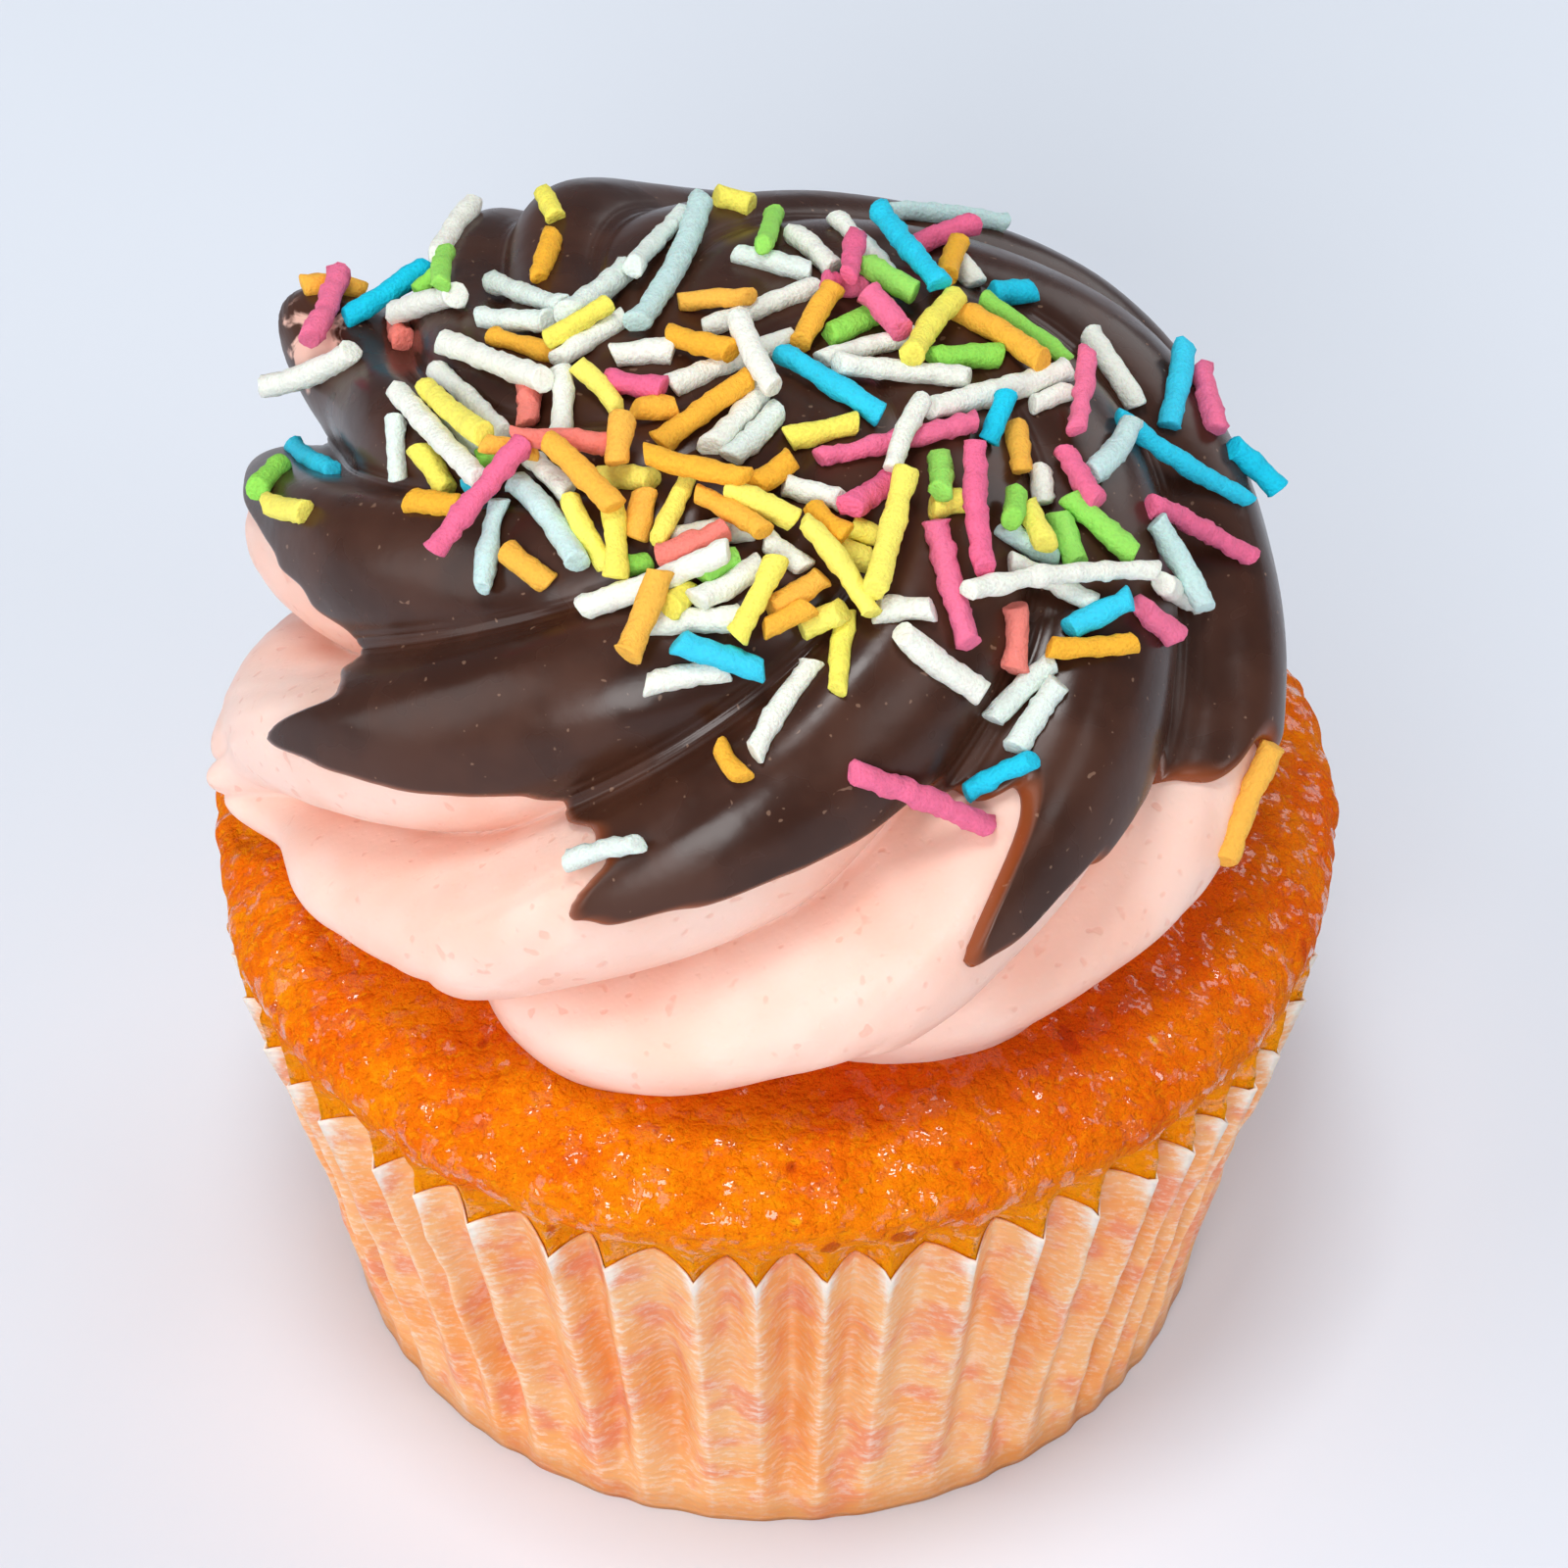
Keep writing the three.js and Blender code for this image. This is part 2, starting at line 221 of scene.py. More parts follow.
def add_node(tree: Tree, kind: str, inputs: dict[Any, Any] | None = None, **settings: Any) -> bpy.types.Node:
    """Adds one shader node with its settings and links.

    Args:
        tree: the material's node tree.
        kind: the node's type name.
        inputs: socket name or number to a value, or to the output socket that feeds it.
        settings: other properties of the node.

    Returns:
        The new node.
    """
    node = tree.nodes.new(kind)
    for label, value in settings.items():
        setattr(node, label, value)
    for key, value in (inputs or {}).items():
        if isinstance(value, Socket):
            tree.links.new(value, node.inputs[key])
        else:
            node.inputs[key].default_value = value
    return node


# Finishes


@dataclass(frozen=True)
class Finish:
    """A material with one principled shader; each kind adds its own colours and relief."""

    name: str

    def start(self, **sockets: Any) -> tuple[bpy.types.Material, Tree, bpy.types.Node, Socket]:
        """Makes the material and its shader.

        Args:
            sockets: shader values, spaces in socket names written as underscores.

        Returns:
            The material, its tree, the shader, and the place on the object that patterns are drawn by.
        """
        material = bpy.data.materials.new(self.name)
        material.use_nodes = True
        tree = material.node_tree
        shader = tree.nodes["Principled BSDF"]
        for label, value in sockets.items():
            shader.inputs[label.replace("_", " ")].default_value = value
        return material, tree, shader, add_node(tree, "ShaderNodeTexCoord").outputs["Object"]

    def material(self) -> bpy.types.Material:
        """The plain shader, which each kind of finish replaces by its own."""
        return self.start()[0]

    def colour(self, tree: Tree, shader: bpy.types.Node, base: Any, tints: Sequence[Tint]) -> None:
        """Lays tints over a base colour, one after the other.

        Args:
            tree: the material's tree.
            shader: the shader that takes the colour.
            base: the linear colour below them all.
            tints: for each a value, where in it the tint begins and is full, its share there, and its colour.
        """
        for value, begins, full, share, tint in tints:
            inputs = {0: value, 1: begins, 2: full, 4: share}
            amount = add_node(tree, RANGE, inputs, interpolation_type="SMOOTHSTEP").outputs[0]
            base = add_node(tree, "ShaderNodeMix", {0: amount, 6: base, 7: tint}, data_type="RGBA").outputs[2]
        tree.links.new(base, shader.inputs["Base Color"])

    def relief(self, tree: Tree, socket: Socket, bumps: Sequence[Bump]) -> None:
        """Stacks bumps on one another.

        Args:
            tree: the material's tree.
            socket: the shader's normal that takes them.
            bumps: for each a height, its strength, and its depth in millimetres, negative for a hollow.
        """
        below: dict[str, Socket] = {}
        for height, strength, depth in bumps:
            inputs = {"Height": height, "Strength": strength, "Distance": abs(depth) * MM, **below}
            below = {"Normal": add_node(tree, "ShaderNodeBump", inputs, invert=depth < 0).outputs[0]}
        tree.links.new(below["Normal"], socket)


@dataclass(frozen=True)
class BakingPaper(Finish):
    """Greaseproof paper, pressed into pleats."""

    dry: str = "feece0"
    stained: str = "fdb272"
    soaked: str = "fb9d4e"
    berry: str = "f2895f"
    baked_and_shade: str = "cf7d36"
    cloud: float = 6.0       # sizes of the grease clouds, of the fruit stains and of the fibres' mottle
    blot: float = 3.6
    fibre: float = 0.8       # drawn coarser than real fibres, which would not show
    crimp: float = 0.62      # spacing of the fine cross wrinkles

    def material(self) -> bpy.types.Material:
        """Builds the paper.

        Returns:
            The material.
        """
        # Grease lets the cake's colour through the paper: orange where it touches, pale on the free folds.
        material, tree, shader, place = self.start(
            Roughness=0.42, IOR=1.47, Subsurface_Weight=0.2, Subsurface_Scale=1.2 * MM)
        cloud, blot = (
            add_node(tree, NOISE, {"Vector": place, "Scale": per_mm(size), "Detail": 5.0}).outputs["Fac"]
            for size in (self.cloud, self.blot))
        flat = add_node(tree, "ShaderNodeMapping", {0: place, 3: (1.0, 1.0, 1.9)}).outputs[0]
        mottle = add_node(tree, NOISE, {
            "Vector": flat, "Scale": per_mm(self.fibre), "Detail": 4.0, "Roughness": 0.7}).outputs["Fac"]
        free, low = (add_node(tree, MARK, attribute_name=label).outputs["Fac"] for label in ("free", "low"))
        loose = add_node(tree, MATH, {0: mottle, 1: 0.9, 2: free}, operation="MULTIPLY_ADD").outputs[0]
        self.colour(tree, shader, linear(self.stained), (
            (cloud, 0.40, 0.64, 1.0, linear(self.soaked)),
            (blot, 0.48, 0.66, 0.9, linear(self.berry)),
            (mottle, 0.46, 0.66, 0.34, linear(self.dry)),
            (loose, 0.7, 1.45, 0.9, linear(self.dry)),
            (low, 0.0, 1.0, 0.6, linear(self.baked_and_shade))))
        waves = add_node(tree, "ShaderNodeTexWave", {
            "Vector": place, "Scale": 0.314 * per_mm(self.crimp), "Distortion": 5.0, "Detail": 2.0,
            "Detail Scale": 1.2}, bands_direction="Z").outputs["Fac"]
        self.relief(tree, shader.inputs["Normal"], ((waves, 0.26, 0.1), (mottle, 0.2, 0.15)))
        return material


@dataclass(frozen=True)
class BakedSponge(Finish):
    """Syrup-moist sponge crust."""

    crumb: str = "f78400"
    crust: str = "ee6a00"
    red: str = "cc3c00"
    gold: str = "fb9a04"
    fruit: str = "b02a08"
    zest: str = "f8b81c"
    cloud: float = 6.0       # patches of darker crust
    fine: float = 0.6        # crumb, drawn coarser than its finest pores, which would not show
    bits: float = 2.3        # spacing of the bits of fruit and zest
    wet: float = 1.2         # patches that hold syrup
    tiny: float = 0.3
    syrup: float = 1.25      # ripple of the syrup's skin
    granule: float = 0.85    # size of the crumb's grains

    def material(self) -> bpy.types.Material:
        """Builds the sponge.

        Returns:
            The material.
        """
        # Matte, grainy orange crumb; syrup stands on it in spots and gives small sharp glints.
        material, tree, shader, place = self.start(
            IOR=1.15, Subsurface_Weight=0.2, Subsurface_Scale=1.5 * MM, Subsurface_Radius=(1.0, 0.4, 0.1),
            Coat_Roughness=0.06, Coat_IOR=1.55)
        cloud, fine, bits, wet, tiny, syrup = (
            add_node(tree, NOISE, {
                "Vector": place, "Scale": per_mm(size), "Detail": detail, "Roughness": rough}).outputs["Fac"]
            for size, detail, rough in (
                (self.cloud, 4.0, 0.5), (self.fine, 5.0, 0.65), (self.bits, 0.0, 0.5), (self.wet, 3.0, 0.5),
                (self.tiny, 3.0, 0.5), (self.syrup, 1.5, 0.5)))
        baked_and_shade, brim = (
            add_node(tree, MARK, attribute_name=label).outputs["Fac"] for label in ("baked_and_shade", "brim"))
        self.colour(tree, shader, linear(self.crumb), (
            (cloud, 0.38, 0.64, 1.0, linear(self.crust)),
            (fine, 0.52, 0.70, 0.45, linear(self.red)),
            (fine, 0.48, 0.36, 0.6, linear(self.gold)),
            # Painted shade in the next row: redder crust near the cream and on the right-hand side. Painted
            # light in the row after: paler gold low on the crust and in the flutes, which the bulge shades.
            (baked_and_shade, 0.0, 1.0, 0.8, linear(self.red)),
            (brim, 0.0, 1.0, 0.7, linear(self.gold)),
            (bits, 0.80, 0.84, 0.6, linear(self.fruit)),
            (bits, 0.17, 0.14, 0.7, linear(self.zest))))
        for label, *span in (("Roughness", 0.44, 0.60, 0.7, 0.4), ("Coat Weight", 0.53, 0.58, 0.0, 1.0)):
            inputs = {0: wet, **dict(enumerate(span, 1))}
            gloss = add_node(tree, RANGE, inputs, interpolation_type="SMOOTHSTEP").outputs[0]
            tree.links.new(gloss, shader.inputs[label])
        granules = add_node(tree, CELLS, {
            "Vector": place, "Scale": per_mm(self.granule), "Randomness": 1.0}).outputs["Distance"]
        self.relief(tree, shader.inputs["Normal"], (
            (fine, 0.7, 0.35), (granules, 0.6, -0.35), (tiny, 0.9, 0.2)))
        self.relief(tree, shader.inputs["Coat Normal"], ((syrup, 1.0, 0.8),))
        return material


@dataclass(frozen=True)
class PipedButtercream(Finish):
    """Whipped butter and sugar, piped through a star nozzle."""

    pale: str = "fad4c5"
    deep: str = "f6c5b2"
    # painted shade inside the air holes
    pit_shade: str = "e9a48e"
    cloud: float = 9.0       # drifts of colour
    hole: float = 0.9        # size of the noise that opens the air holes
    foam: float = 0.8        # fine bubbles, drawn coarser than real ones, which would not show
    soft: float = 1.4        # waves of the skin

    def material(self) -> bpy.types.Material:
        """Builds the buttercream.

        Returns:
            The material.
        """
        # Fat and air scatter light: pale pink, satin, soft in the shadows, with a few burst air holes,
        # painted darker inside as shade.
        material, tree, shader, place = self.start(
            Roughness=0.45, IOR=1.45, Subsurface_Weight=0.3, Subsurface_Scale=2.5 * MM,
            Subsurface_Radius=(1.0, 0.5, 0.35))
        cloud, holes, soft = (
            add_node(tree, NOISE, {"Vector": place, "Scale": per_mm(size), "Detail": detail}).outputs["Fac"]
            for size, detail in ((self.cloud, 2.0), (self.hole, 0.5), (self.soft, 3.0)))
        bubbles = add_node(tree, CELLS, {
            "Vector": place, "Scale": per_mm(self.foam), "Randomness": 1.0}).outputs["Distance"]
        pit, foam = (
            add_node(tree, RANGE, dict(enumerate(span)), interpolation_type="SMOOTHSTEP").outputs[0]
            for span in ((holes, 0.68, 0.77, 0.0, 1.0), (bubbles, 0.12, 0.26, 1.0, 0.0)))
        self.colour(tree, shader, linear(self.pale), (
            (cloud, 0.35, 0.65, 1.0, linear(self.deep)),
            (pit, 0.0, 1.0, 0.4, linear(self.pit_shade))))
        self.relief(tree, shader.inputs["Normal"], (
            (soft, 0.15, 0.4), (foam, 0.12, -0.1), (pit, 0.25, -0.15)))
        return material


@dataclass(frozen=True)
class PouredChocolate(Finish):
    """Melted chocolate, poured and set."""

    dark: str = "391f15"
    warm: str = "48291c"
    thin: str = "94481f"
    cream: str = "e9b9a8"
    sugar: str = "b08a72"
    cloud: float = 6.0       # drifts of tone and gloss
    dust: float = 0.42       # spacing of stray sugar grains, drawn larger than real ones so that they show
    streak: float = 2.4      # streaks of cream in the smear
    soft: float = 3.5        # waves of the set skin
    fine: float = 0.5

    def material(self) -> bpy.types.Material:
        """Builds the chocolate.

        Returns:
            The material.
        """
        # Cocoa butter sets to a dark satin skin with soft highlights; it is redder where it runs thin.
        material, tree, shader, place = self.start(
            IOR=1.39, Subsurface_Weight=0.05, Subsurface_Scale=1.0 * MM)
        cloud, dust, streak, soft, fine = (
            add_node(tree, NOISE, {
                "Vector": place, "Scale": per_mm(size), "Detail": detail, "Distortion": swirl}).outputs["Fac"]
            for size, detail, swirl in (
                (self.cloud, 3.0, 0.0), (self.dust, 0.0, 0.0), (self.streak, 3.0, 1.2), (self.soft, 2.0, 0.0),
                (self.fine, 2.0, 0.0)))
        thin, smear = (
            add_node(tree, MARK, attribute_name=label).outputs["Fac"] for label in ("thin", "smear"))
        wiped = add_node(tree, MATH, {0: smear, 1: streak, 2: -0.36}, operation="MULTIPLY_ADD").outputs[0]
        self.colour(tree, shader, linear(self.dark), (
            (cloud, 0.35, 0.65, 1.0, linear(self.warm)),
            (thin, 0.35, 1.0, 0.9, linear(self.thin)),
            (dust, 0.80, 0.84, 0.35, linear(self.sugar)),
            (wiped, 0.0, 0.12, 1.0, linear(self.cream))))
        inputs = {0: cloud, 1: 0.3, 2: 0.7, 3: 0.22, 4: 0.34}
        gloss = add_node(tree, RANGE, inputs, interpolation_type="SMOOTHSTEP").outputs[0]
        tree.links.new(gloss, shader.inputs["Roughness"])
        self.relief(tree, shader.inputs["Normal"], ((soft, 0.15, 0.5), (fine, 0.06, 0.1)))
        return material


@dataclass(frozen=True)
class SugarSprinkle(Finish):
    """Extruded sugar paste, dried and broken."""

    hue: str = "ffffff"
    grit: float = 0.22       # sugar grains, drawn coarser than real ones, which would not show
    shade: tuple[float, float, float, float] = (0.9, 0.88, 0.88, 1.0)
    bleach: float = 0.1      # what the palest sprinkles have of white

    def material(self) -> bpy.types.Material:
        """Builds the sprinkle's sugar.

        Returns:
            The material.
        """
        # Dry sugar is matte and chalky: bright flat colour, a rough skin and no highlight.
        material, tree, shader, place = self.start(
            Roughness=0.75, IOR=1.4, Subsurface_Weight=0.15, Subsurface_Scale=0.8 * MM)
        grit = add_node(tree, NOISE, {
            "Vector": place, "Scale": per_mm(self.grit), "Detail": 4.0}).outputs["Fac"]
        tone = add_node(tree, MARK, attribute_name="tone").outputs["Fac"]
        bright = linear(self.hue)
        dull = tuple(part * colour for part, colour in zip(self.shade, bright))
        pale = tuple((1 - self.bleach) * colour + self.bleach for colour in bright)
        self.colour(tree, shader, dull, ((grit, 0.34, 0.56, 1.0, bright), (tone, 0.0, 1.0, 0.4, pale)))
        self.relief(tree, shader.inputs["Normal"], ((grit, 0.7, 0.2),))
        return material


@dataclass(frozen=True)
class MattTable(Finish):
    """Matt white table paint, rolled on."""

    paint: str = "e1e7f0"

    def material(self) -> bpy.types.Material:
        """Builds the table's paint.

        Returns:
            The material.
        """
        # Plain, a little blue and without a highlight, so that only the cake's soft shadow shows on it.
        return self.start(Roughness=0.9, IOR=1.3, Base_Color=linear(self.paint))[0]


class Sugar(Enum):
    """Sprinkle colours in sRGB."""

    WHITE = "f2f4e8"
    MINT = "e3efe6"
    AQUA = "c8e6e3"
    YELLOW = "fdef62"
    ORANGE = "fcb730"
    PINK = "f06a94"
    CORAL = "f68274"
    BLUE = "02ccec"
    GREEN = "96e257"


# Shapes


@dataclass
class PaperCase:
    """The pleated case: sharp outward folds, round inward flutes that lie against the sponge."""

    height: float = 29.5
    base_radius: float = 27.9
    rim_radius: float = 34.0
    flare: float = 1.18
    pleats: int = 52
    base_depth: float = 0.5
    rim_depth: float = 2.05
    paper: float = 0.16
    per_pleat: int = 14
    rows: int = 60
    widths: tuple[float, float] = (0.7, 0.6)      # least width of a pleat, relative, and what chance adds
    depths: tuple[float, float] = (0.74, 0.4)     # the same for its depth towards the rim
    feet: tuple[float, float] = (0.2, 1.9)        # and for its depth at the foot
    lean: float = 2.4        # range of a flute's lean at half height, in degrees
    flute: float = 0.9       # how round a flute is
    zigzag: float = 0.6      # how straight its sides are at the rim
    crumple: Layers = ((0.3, 5.0, 1), (0.1, 1.8, 2))

    def wall_radius(self, height: Array, share: Array) -> Array:
        """Radius of the wall's outside.

        Args:
            height: height above the table.
            share: 0 on an outward fold, 1 deep in a flute.

        Returns:
            The radius.
        """
        rise = np.clip(height / self.height, 0, 1)
        outer = self.base_radius + (self.rim_radius - self.base_radius) * rise ** self.flare
        return outer - share * (self.base_depth + (self.rim_depth - self.base_depth) * rise ** 0.8)

    def folds(self) -> tuple[Array, Array, Array]:
        """Where each column stands in its pleat.

        Returns:
            Azimuth, flute share and pleat number per column; pleats differ a little in width.
        """
        draw = Randoms(5)
        least, more = self.widths
        widths = np.array([least + more * draw() for _ in range(self.pleats)])
        edges = np.concatenate([[0.0], np.cumsum(widths)]) * 360 / widths.sum()
        step = np.arange(self.per_pleat) / self.per_pleat
        azimuth = (edges[:-1, None] + np.diff(edges)[:, None] * step).ravel()
        share = np.tile(np.sin(np.pi * step) ** self.flute, self.pleats)
        return azimuth, share, np.repeat(np.arange(self.pleats), self.per_pleat)

    def wall(self, height: Array) -> tuple[Array, Array]:
        """The uneven wall: pleats differ in depth and lean, and the paper is a little crumpled.

        Args:
            height: heights, one row each.

        Returns:
            Radius of the outside and azimuth, by row and column.
        """
        azimuth, share, pleat = self.folds()
        draw = Randoms(11)
        deep, foot, lean = (
            np.array([least + more * draw() for _ in range(self.pleats)])[pleat]
            for least, more in (self.depths, self.feet, (-0.5, 1.0)))
        rise = np.clip(height / self.height, 0, 1)[:, None]
        turn = azimuth + self.lean * lean * np.sin(np.pi * rise) * share
        upper = ease(0.3, 0.9, rise)
        depth = deep * upper + foot * (1 - upper) * ease(-0.12, 0.28, rise)
        sharp = ease(0.7, 1.0, rise)
        straight = 2 / np.pi * np.arcsin(np.clip(share, 0, 1) ** (1 / self.flute))
        zigzag = (1 - self.zigzag) * share + self.zigzag * straight
        fold = zigzag * sharp + share ** 2.2 * (1 - sharp)
        radius = self.wall_radius(self.height * rise, fold * depth)
        spot = polar(radius, turn, self.height * rise)
        slack = ease(0.0, 0.25, rise) * (1 - 0.6 * ease(0.8, 1.0, rise))
        return radius + uneven(spot, self.crumple) * slack, turn

    def build(self, finish: Finish) -> bpy.types.Object:
        """Makes the case.

        Args:
            finish: the paper.

        Returns:
            The piece.
        """
        _, share, pleat = self.folds()
        rise = np.linspace(0, 1, self.rows)[:, None]
        radius, turn = self.wall(self.height * rise[:, 0])
        ragged = 0.25 * np.sin(np.radians(turn * 3)) + 0.2 * np.sin(pleat * 2.3)
        height = self.height * rise + rise ** 4 * (ragged + 0.7 * (share - 0.3))
        outside = polar(radius, turn, height)
        inside = polar(radius - self.paper, turn, np.maximum(height, 0.3))[::-1]
        rings = np.concatenate([outside, inside])
        points, faces = skin(rings, np.array([0, 0, 0.0]), np.array([0, 0, 0.3]))
        free = (1 - share) ** 1.1 * (0.45 + 0.15 * rise ** 2 + 0.7 * ease(0.9, 1.0, rise))
        free = np.concatenate([free + 0 * radius, np.ones_like(radius)])
        low = np.concatenate([1 - ease(0.0, 0.12, rise) + 0 * radius, 0 * radius])
        marks = {"free": ring_marks(free), "low": ring_marks(low)}
        return make_piece("paper_case_pleats", points, faces, marks, finish)


@dataclass
class Sponge:
    """The domed sponge, which bulges over the paper's rim."""

    case: PaperCase
    radius: float = 34.4
    widest: float = 34.5
    rise: float = 6.0
    lip: float = 29.5        # where the crust begins to leave the pleats
    brim: float = 33.3       # and its radius there, but for the pleats
    crumb: Layers = ((0.22, 4.5, 3), (0.2, 1.9, 4), (0.12, 0.9, 5))
    pore: float = 0.3        # depth of the pores
    shade: float = 335.0     # azimuth of the side that is painted darkest, as shade

    def dome(self, radius: Array) -> Array:
        """Height of the sponge's top at a distance from the axis."""
        fall = np.clip(1 - (np.abs(radius) / self.radius) ** 2.6, 0, 1)
        return self.widest + self.rise * fall ** (1 / 1.8)

    def profile(self) -> Array:
        """Radius and height of the crust, from the paper's rim up to the middle of the dome.

        Returns:
            One row per ring.
        """
        bulge = np.linspace(0, 1, 30)[:-1, None]
        side = np.hstack([
            self.brim + (self.radius - self.brim) * np.sin(np.pi / 2 * bulge),
            self.lip + (self.widest - self.lip) * bulge])
        shares = np.concatenate([1 - np.linspace(0, 1, 52) ** 2 * 0.42, np.linspace(0.55, 0.05, 6)])
        shares = shares[:, None]
        top = np.hstack([self.radius * shares, self.dome(self.radius * shares)])
        return np.vstack([side, top])

    def build(self, finish: Finish) -> bpy.types.Object:
        """Makes the sponge: fluted by the paper below the rim, a rough crust above it.

        Args:
            finish: the sponge's crumb.

        Returns:
            The piece.
        """
        fluted = np.append(np.arange(0.6, 28.8, 1.4), 29.2)
        wall, turn = self.case.wall(fluted)
        wall = wall - self.case.paper - 0.5 + 0.46 * ease(26.0, 29.0, fluted)[:, None]
        line = self.profile()
        azimuth = np.broadcast_to(self.case.folds()[0], (len(line), wall.shape[1]))
        height = line[:, 1:] + 0 * azimuth
        freed = ease(self.lip + 0.4, self.lip + 4.6, height)
        radius = (wall[-1] + 0.1 * (height - self.lip)) * (1 - freed) + line[:, :1] * freed
        lopsided = 0.25 * np.sin(np.radians(3 * azimuth + 40)) + 0.15 * np.sin(np.radians(7 * azimuth))
        radius = radius + lopsided * ease(31.0, 33.0, height) * ease(31.0, 33.0, radius)
        crust = polar(radius, azimuth, height)
        along = np.gradient(crust, axis=0)
        around = np.roll(crust, -1, axis=1) - np.roll(crust, 1, axis=1)
        normal = np.cross(around, along)
        normal /= np.linalg.norm(normal, axis=-1, keepdims=True) + 1e-9
        bumps = uneven(crust, self.crumb) - self.pore * np.clip(grain(crust, 1.4, 6) - 0.3, 0, 1)
        crust = crust + normal * (bumps * ease(30.0, 32.0, height))[..., None]
        rings = np.concatenate([polar(wall, turn, fluted[:, None]), crust])
        points, faces = skin(rings, np.array([0, 0, 0.6]), np.array([0, 0, self.dome(np.array(0.0))]))
        # Painted shade: the crust is drawn redder near the cream, which overhangs it, and on the right-hand
        # side, where less light falls.
        shadow = ease(31.5, 26.0, line[:, :1]) * ease(33.0, 35.0, line[:, 1:])
        right = ease(0.2, 1.0, np.cos(np.radians(azimuth - self.shade))) * ease(31.0, 35.0, height)
        baked_and_shade = np.clip(0.75 * shadow + 0.45 * right, 0, 1)
        baked_and_shade = np.concatenate([0 * wall, baked_and_shade])
        # Painted light: paler gold in the flutes and low on the crust, where the bulge shades it.
        brim = np.concatenate([1 + 0 * wall, ease(34.5, 30.5, height)])
        marks = {"baked_and_shade": ring_marks(baked_and_shade), "brim": ring_marks(brim)}
        return make_piece("sponge_crumb", points, faces, marks, finish)


@dataclass
class Swirl:
    """The piped swirl as a radius from its middle, against azimuth and elevation in degrees."""

    middle: tuple[float, float, float] = (-1.0, 0.8, 42.6)
    foot: float = -9.0
    top_radius: float = 26.4
    bulge: float = 5.6
    bulge_elevation: float = 12.0
    tuck: float = 3.4
    groove_depth: float = 7.0
    groove_elevation: float = 15.0
    twist_rate: float = 0.42
    twist_gain: float = 0.013
    ridges: tuple[float, ...] = (141, 183, 226, 274, 326, 373, 409, 442, 471)
    edge_at_ridge: tuple[float, ...] = (25, 20, 19, 15, 12, 10, 9, 9, 13)
    edge_in_groove: tuple[float, ...] = (30, 28, 30, 23, 12, 15, 17, 17, 19)
    edge_past_groove: tuple[float, ...] = (30, 28, 30, 16, 12, 15, 17, 17, 19)
    bumps: tuple[tuple[float, ...], ...] = (
        (188, -4.0, 8, 5.5, 6.8),     # pulled tail at the left: azimuth, elevation, half widths, height
        (207, -3, 14, 8, 1.3),        # wide front left lobe
        (262, -5, 25, 8, 1.5),        # front lobe, squeezed out over the sponge
        (151, 29, 9, 8, 5.0),         # knob at the back left
        (124, 42, 16, 14, 2.8),       # back hump
        (35, 28, 25, 16, 1.6),        # right shoulder
        (0, 2, 22, 14, -1.2),         # right side, drawn in
        (172, 16, 12, 9, 1.5),        # left flank
    )
    round_tips: tuple[float, ...] = (-2.0, -1.0, 0.0, 1.0, 2.0)
    tip_gain: float = 2.0    # what the rounding takes off a tip
    coat: float = 1.25
    groove_fill: float = 0.14
    top_fill: float = 0.38   # what more of the grooves fills up on top, where the chocolate was poured
    lip: float = 1.0
    ragged: Layers = ((1.4, 4.0, 7), (1.1, 1.5, 8))                  # unevenness of the chocolate's edge
    flow: tuple[float, ...] = (-0.08, -0.04, 0.0, 0.04, 0.08)        # how far across a ridge it evens out
    flow_weights: tuple[float, ...] = (0.12, 0.23, 0.3, 0.23, 0.12)

    def twist(self, elevation: Array) -> Array:
        """Turn of the ridges at an elevation, in degrees."""
        climb = elevation - self.foot
        return self.twist_rate * climb + self.twist_gain * climb * climb

    def ridge_share(self, phase: Array) -> tuple[Array, Array]:
        """Finds the ridge before a phase.

        Args:
            phase: azimuth less twist, in degrees.

        Returns:
            Ridge number, and share of the way to the next ridge.
        """
        starts = np.array(self.ridges) - self.ridges[0]
        turned = np.mod(phase - self.ridges[0], 360.0)
        number = np.searchsorted(starts, turned, side="right") - 1
        gaps = np.diff(np.append(starts, 360.0))
        return number, (turned - starts[number]) / gaps[number]

    def ridge_profile(self, share: Array, elevation: Array) -> Array:
        """Height of the ridge across one gap: 1 on a ridge, 0 in the groove.

        Args:
            share: share of the way from a ridge to the next.
            elevation: elevation in degrees.

        Returns:
            The profile.
        """
        groove = 0.06 + 0.6 * ease(-8, 22, elevation)
        fall = np.cos(np.pi / 2 * np.clip(share / groove, 0, 1))
        rise = np.sin(np.pi / 2 * np.clip((share - groove) / (1 - groove), 0, 1))
        ridge = np.clip(np.where(share <= groove, fall, rise), 0, 1) ** 0.7
        round_foot = np.clip(np.sin(np.pi * share), 0, 1) ** 0.6
        mix = ease(-9, 8, elevation)
        return round_foot * (1 - mix) + ridge * mix

    def body(self, azimuth: Array, elevation: Array, profile: Array, fill: float | Array) -> Array:
        """Radius with a given ridge profile.

        Args:
            azimuth: azimuth in degrees.
            elevation: elevation in degrees.
            profile: ridge profile, 0 to 1.
            fill: share of the groove that is filled.

        Returns:
            The radius.
        """
        radius = self.top_radius + self.bulge * np.cos(np.radians(elevation - self.bulge_elevation)) ** 2
        radius = radius - self.tuck * (1 - ease(self.foot, 4, elevation))
        depth = self.groove_depth * np.cos(np.radians(1.2 * (elevation - self.groove_elevation))) ** 2
        radius = radius - depth * (1 - fill) * (1 - profile)
        for az, el, wide, tall, height in self.bumps:
            turn = np.mod(azimuth - az + 180, 360) - 180
            radius = radius + height * np.exp(-((turn / wide) ** 2) - ((elevation - el) / tall) ** 2)
        return radius

    def cream_radius(self, azimuth: Array, elevation: Array) -> Array:
        """Radius of the buttercream in a direction."""
        share = self.ridge_share(azimuth - self.twist(elevation))[1]
        return self.body(azimuth, elevation, self.ridge_profile(share, elevation), 0.0)

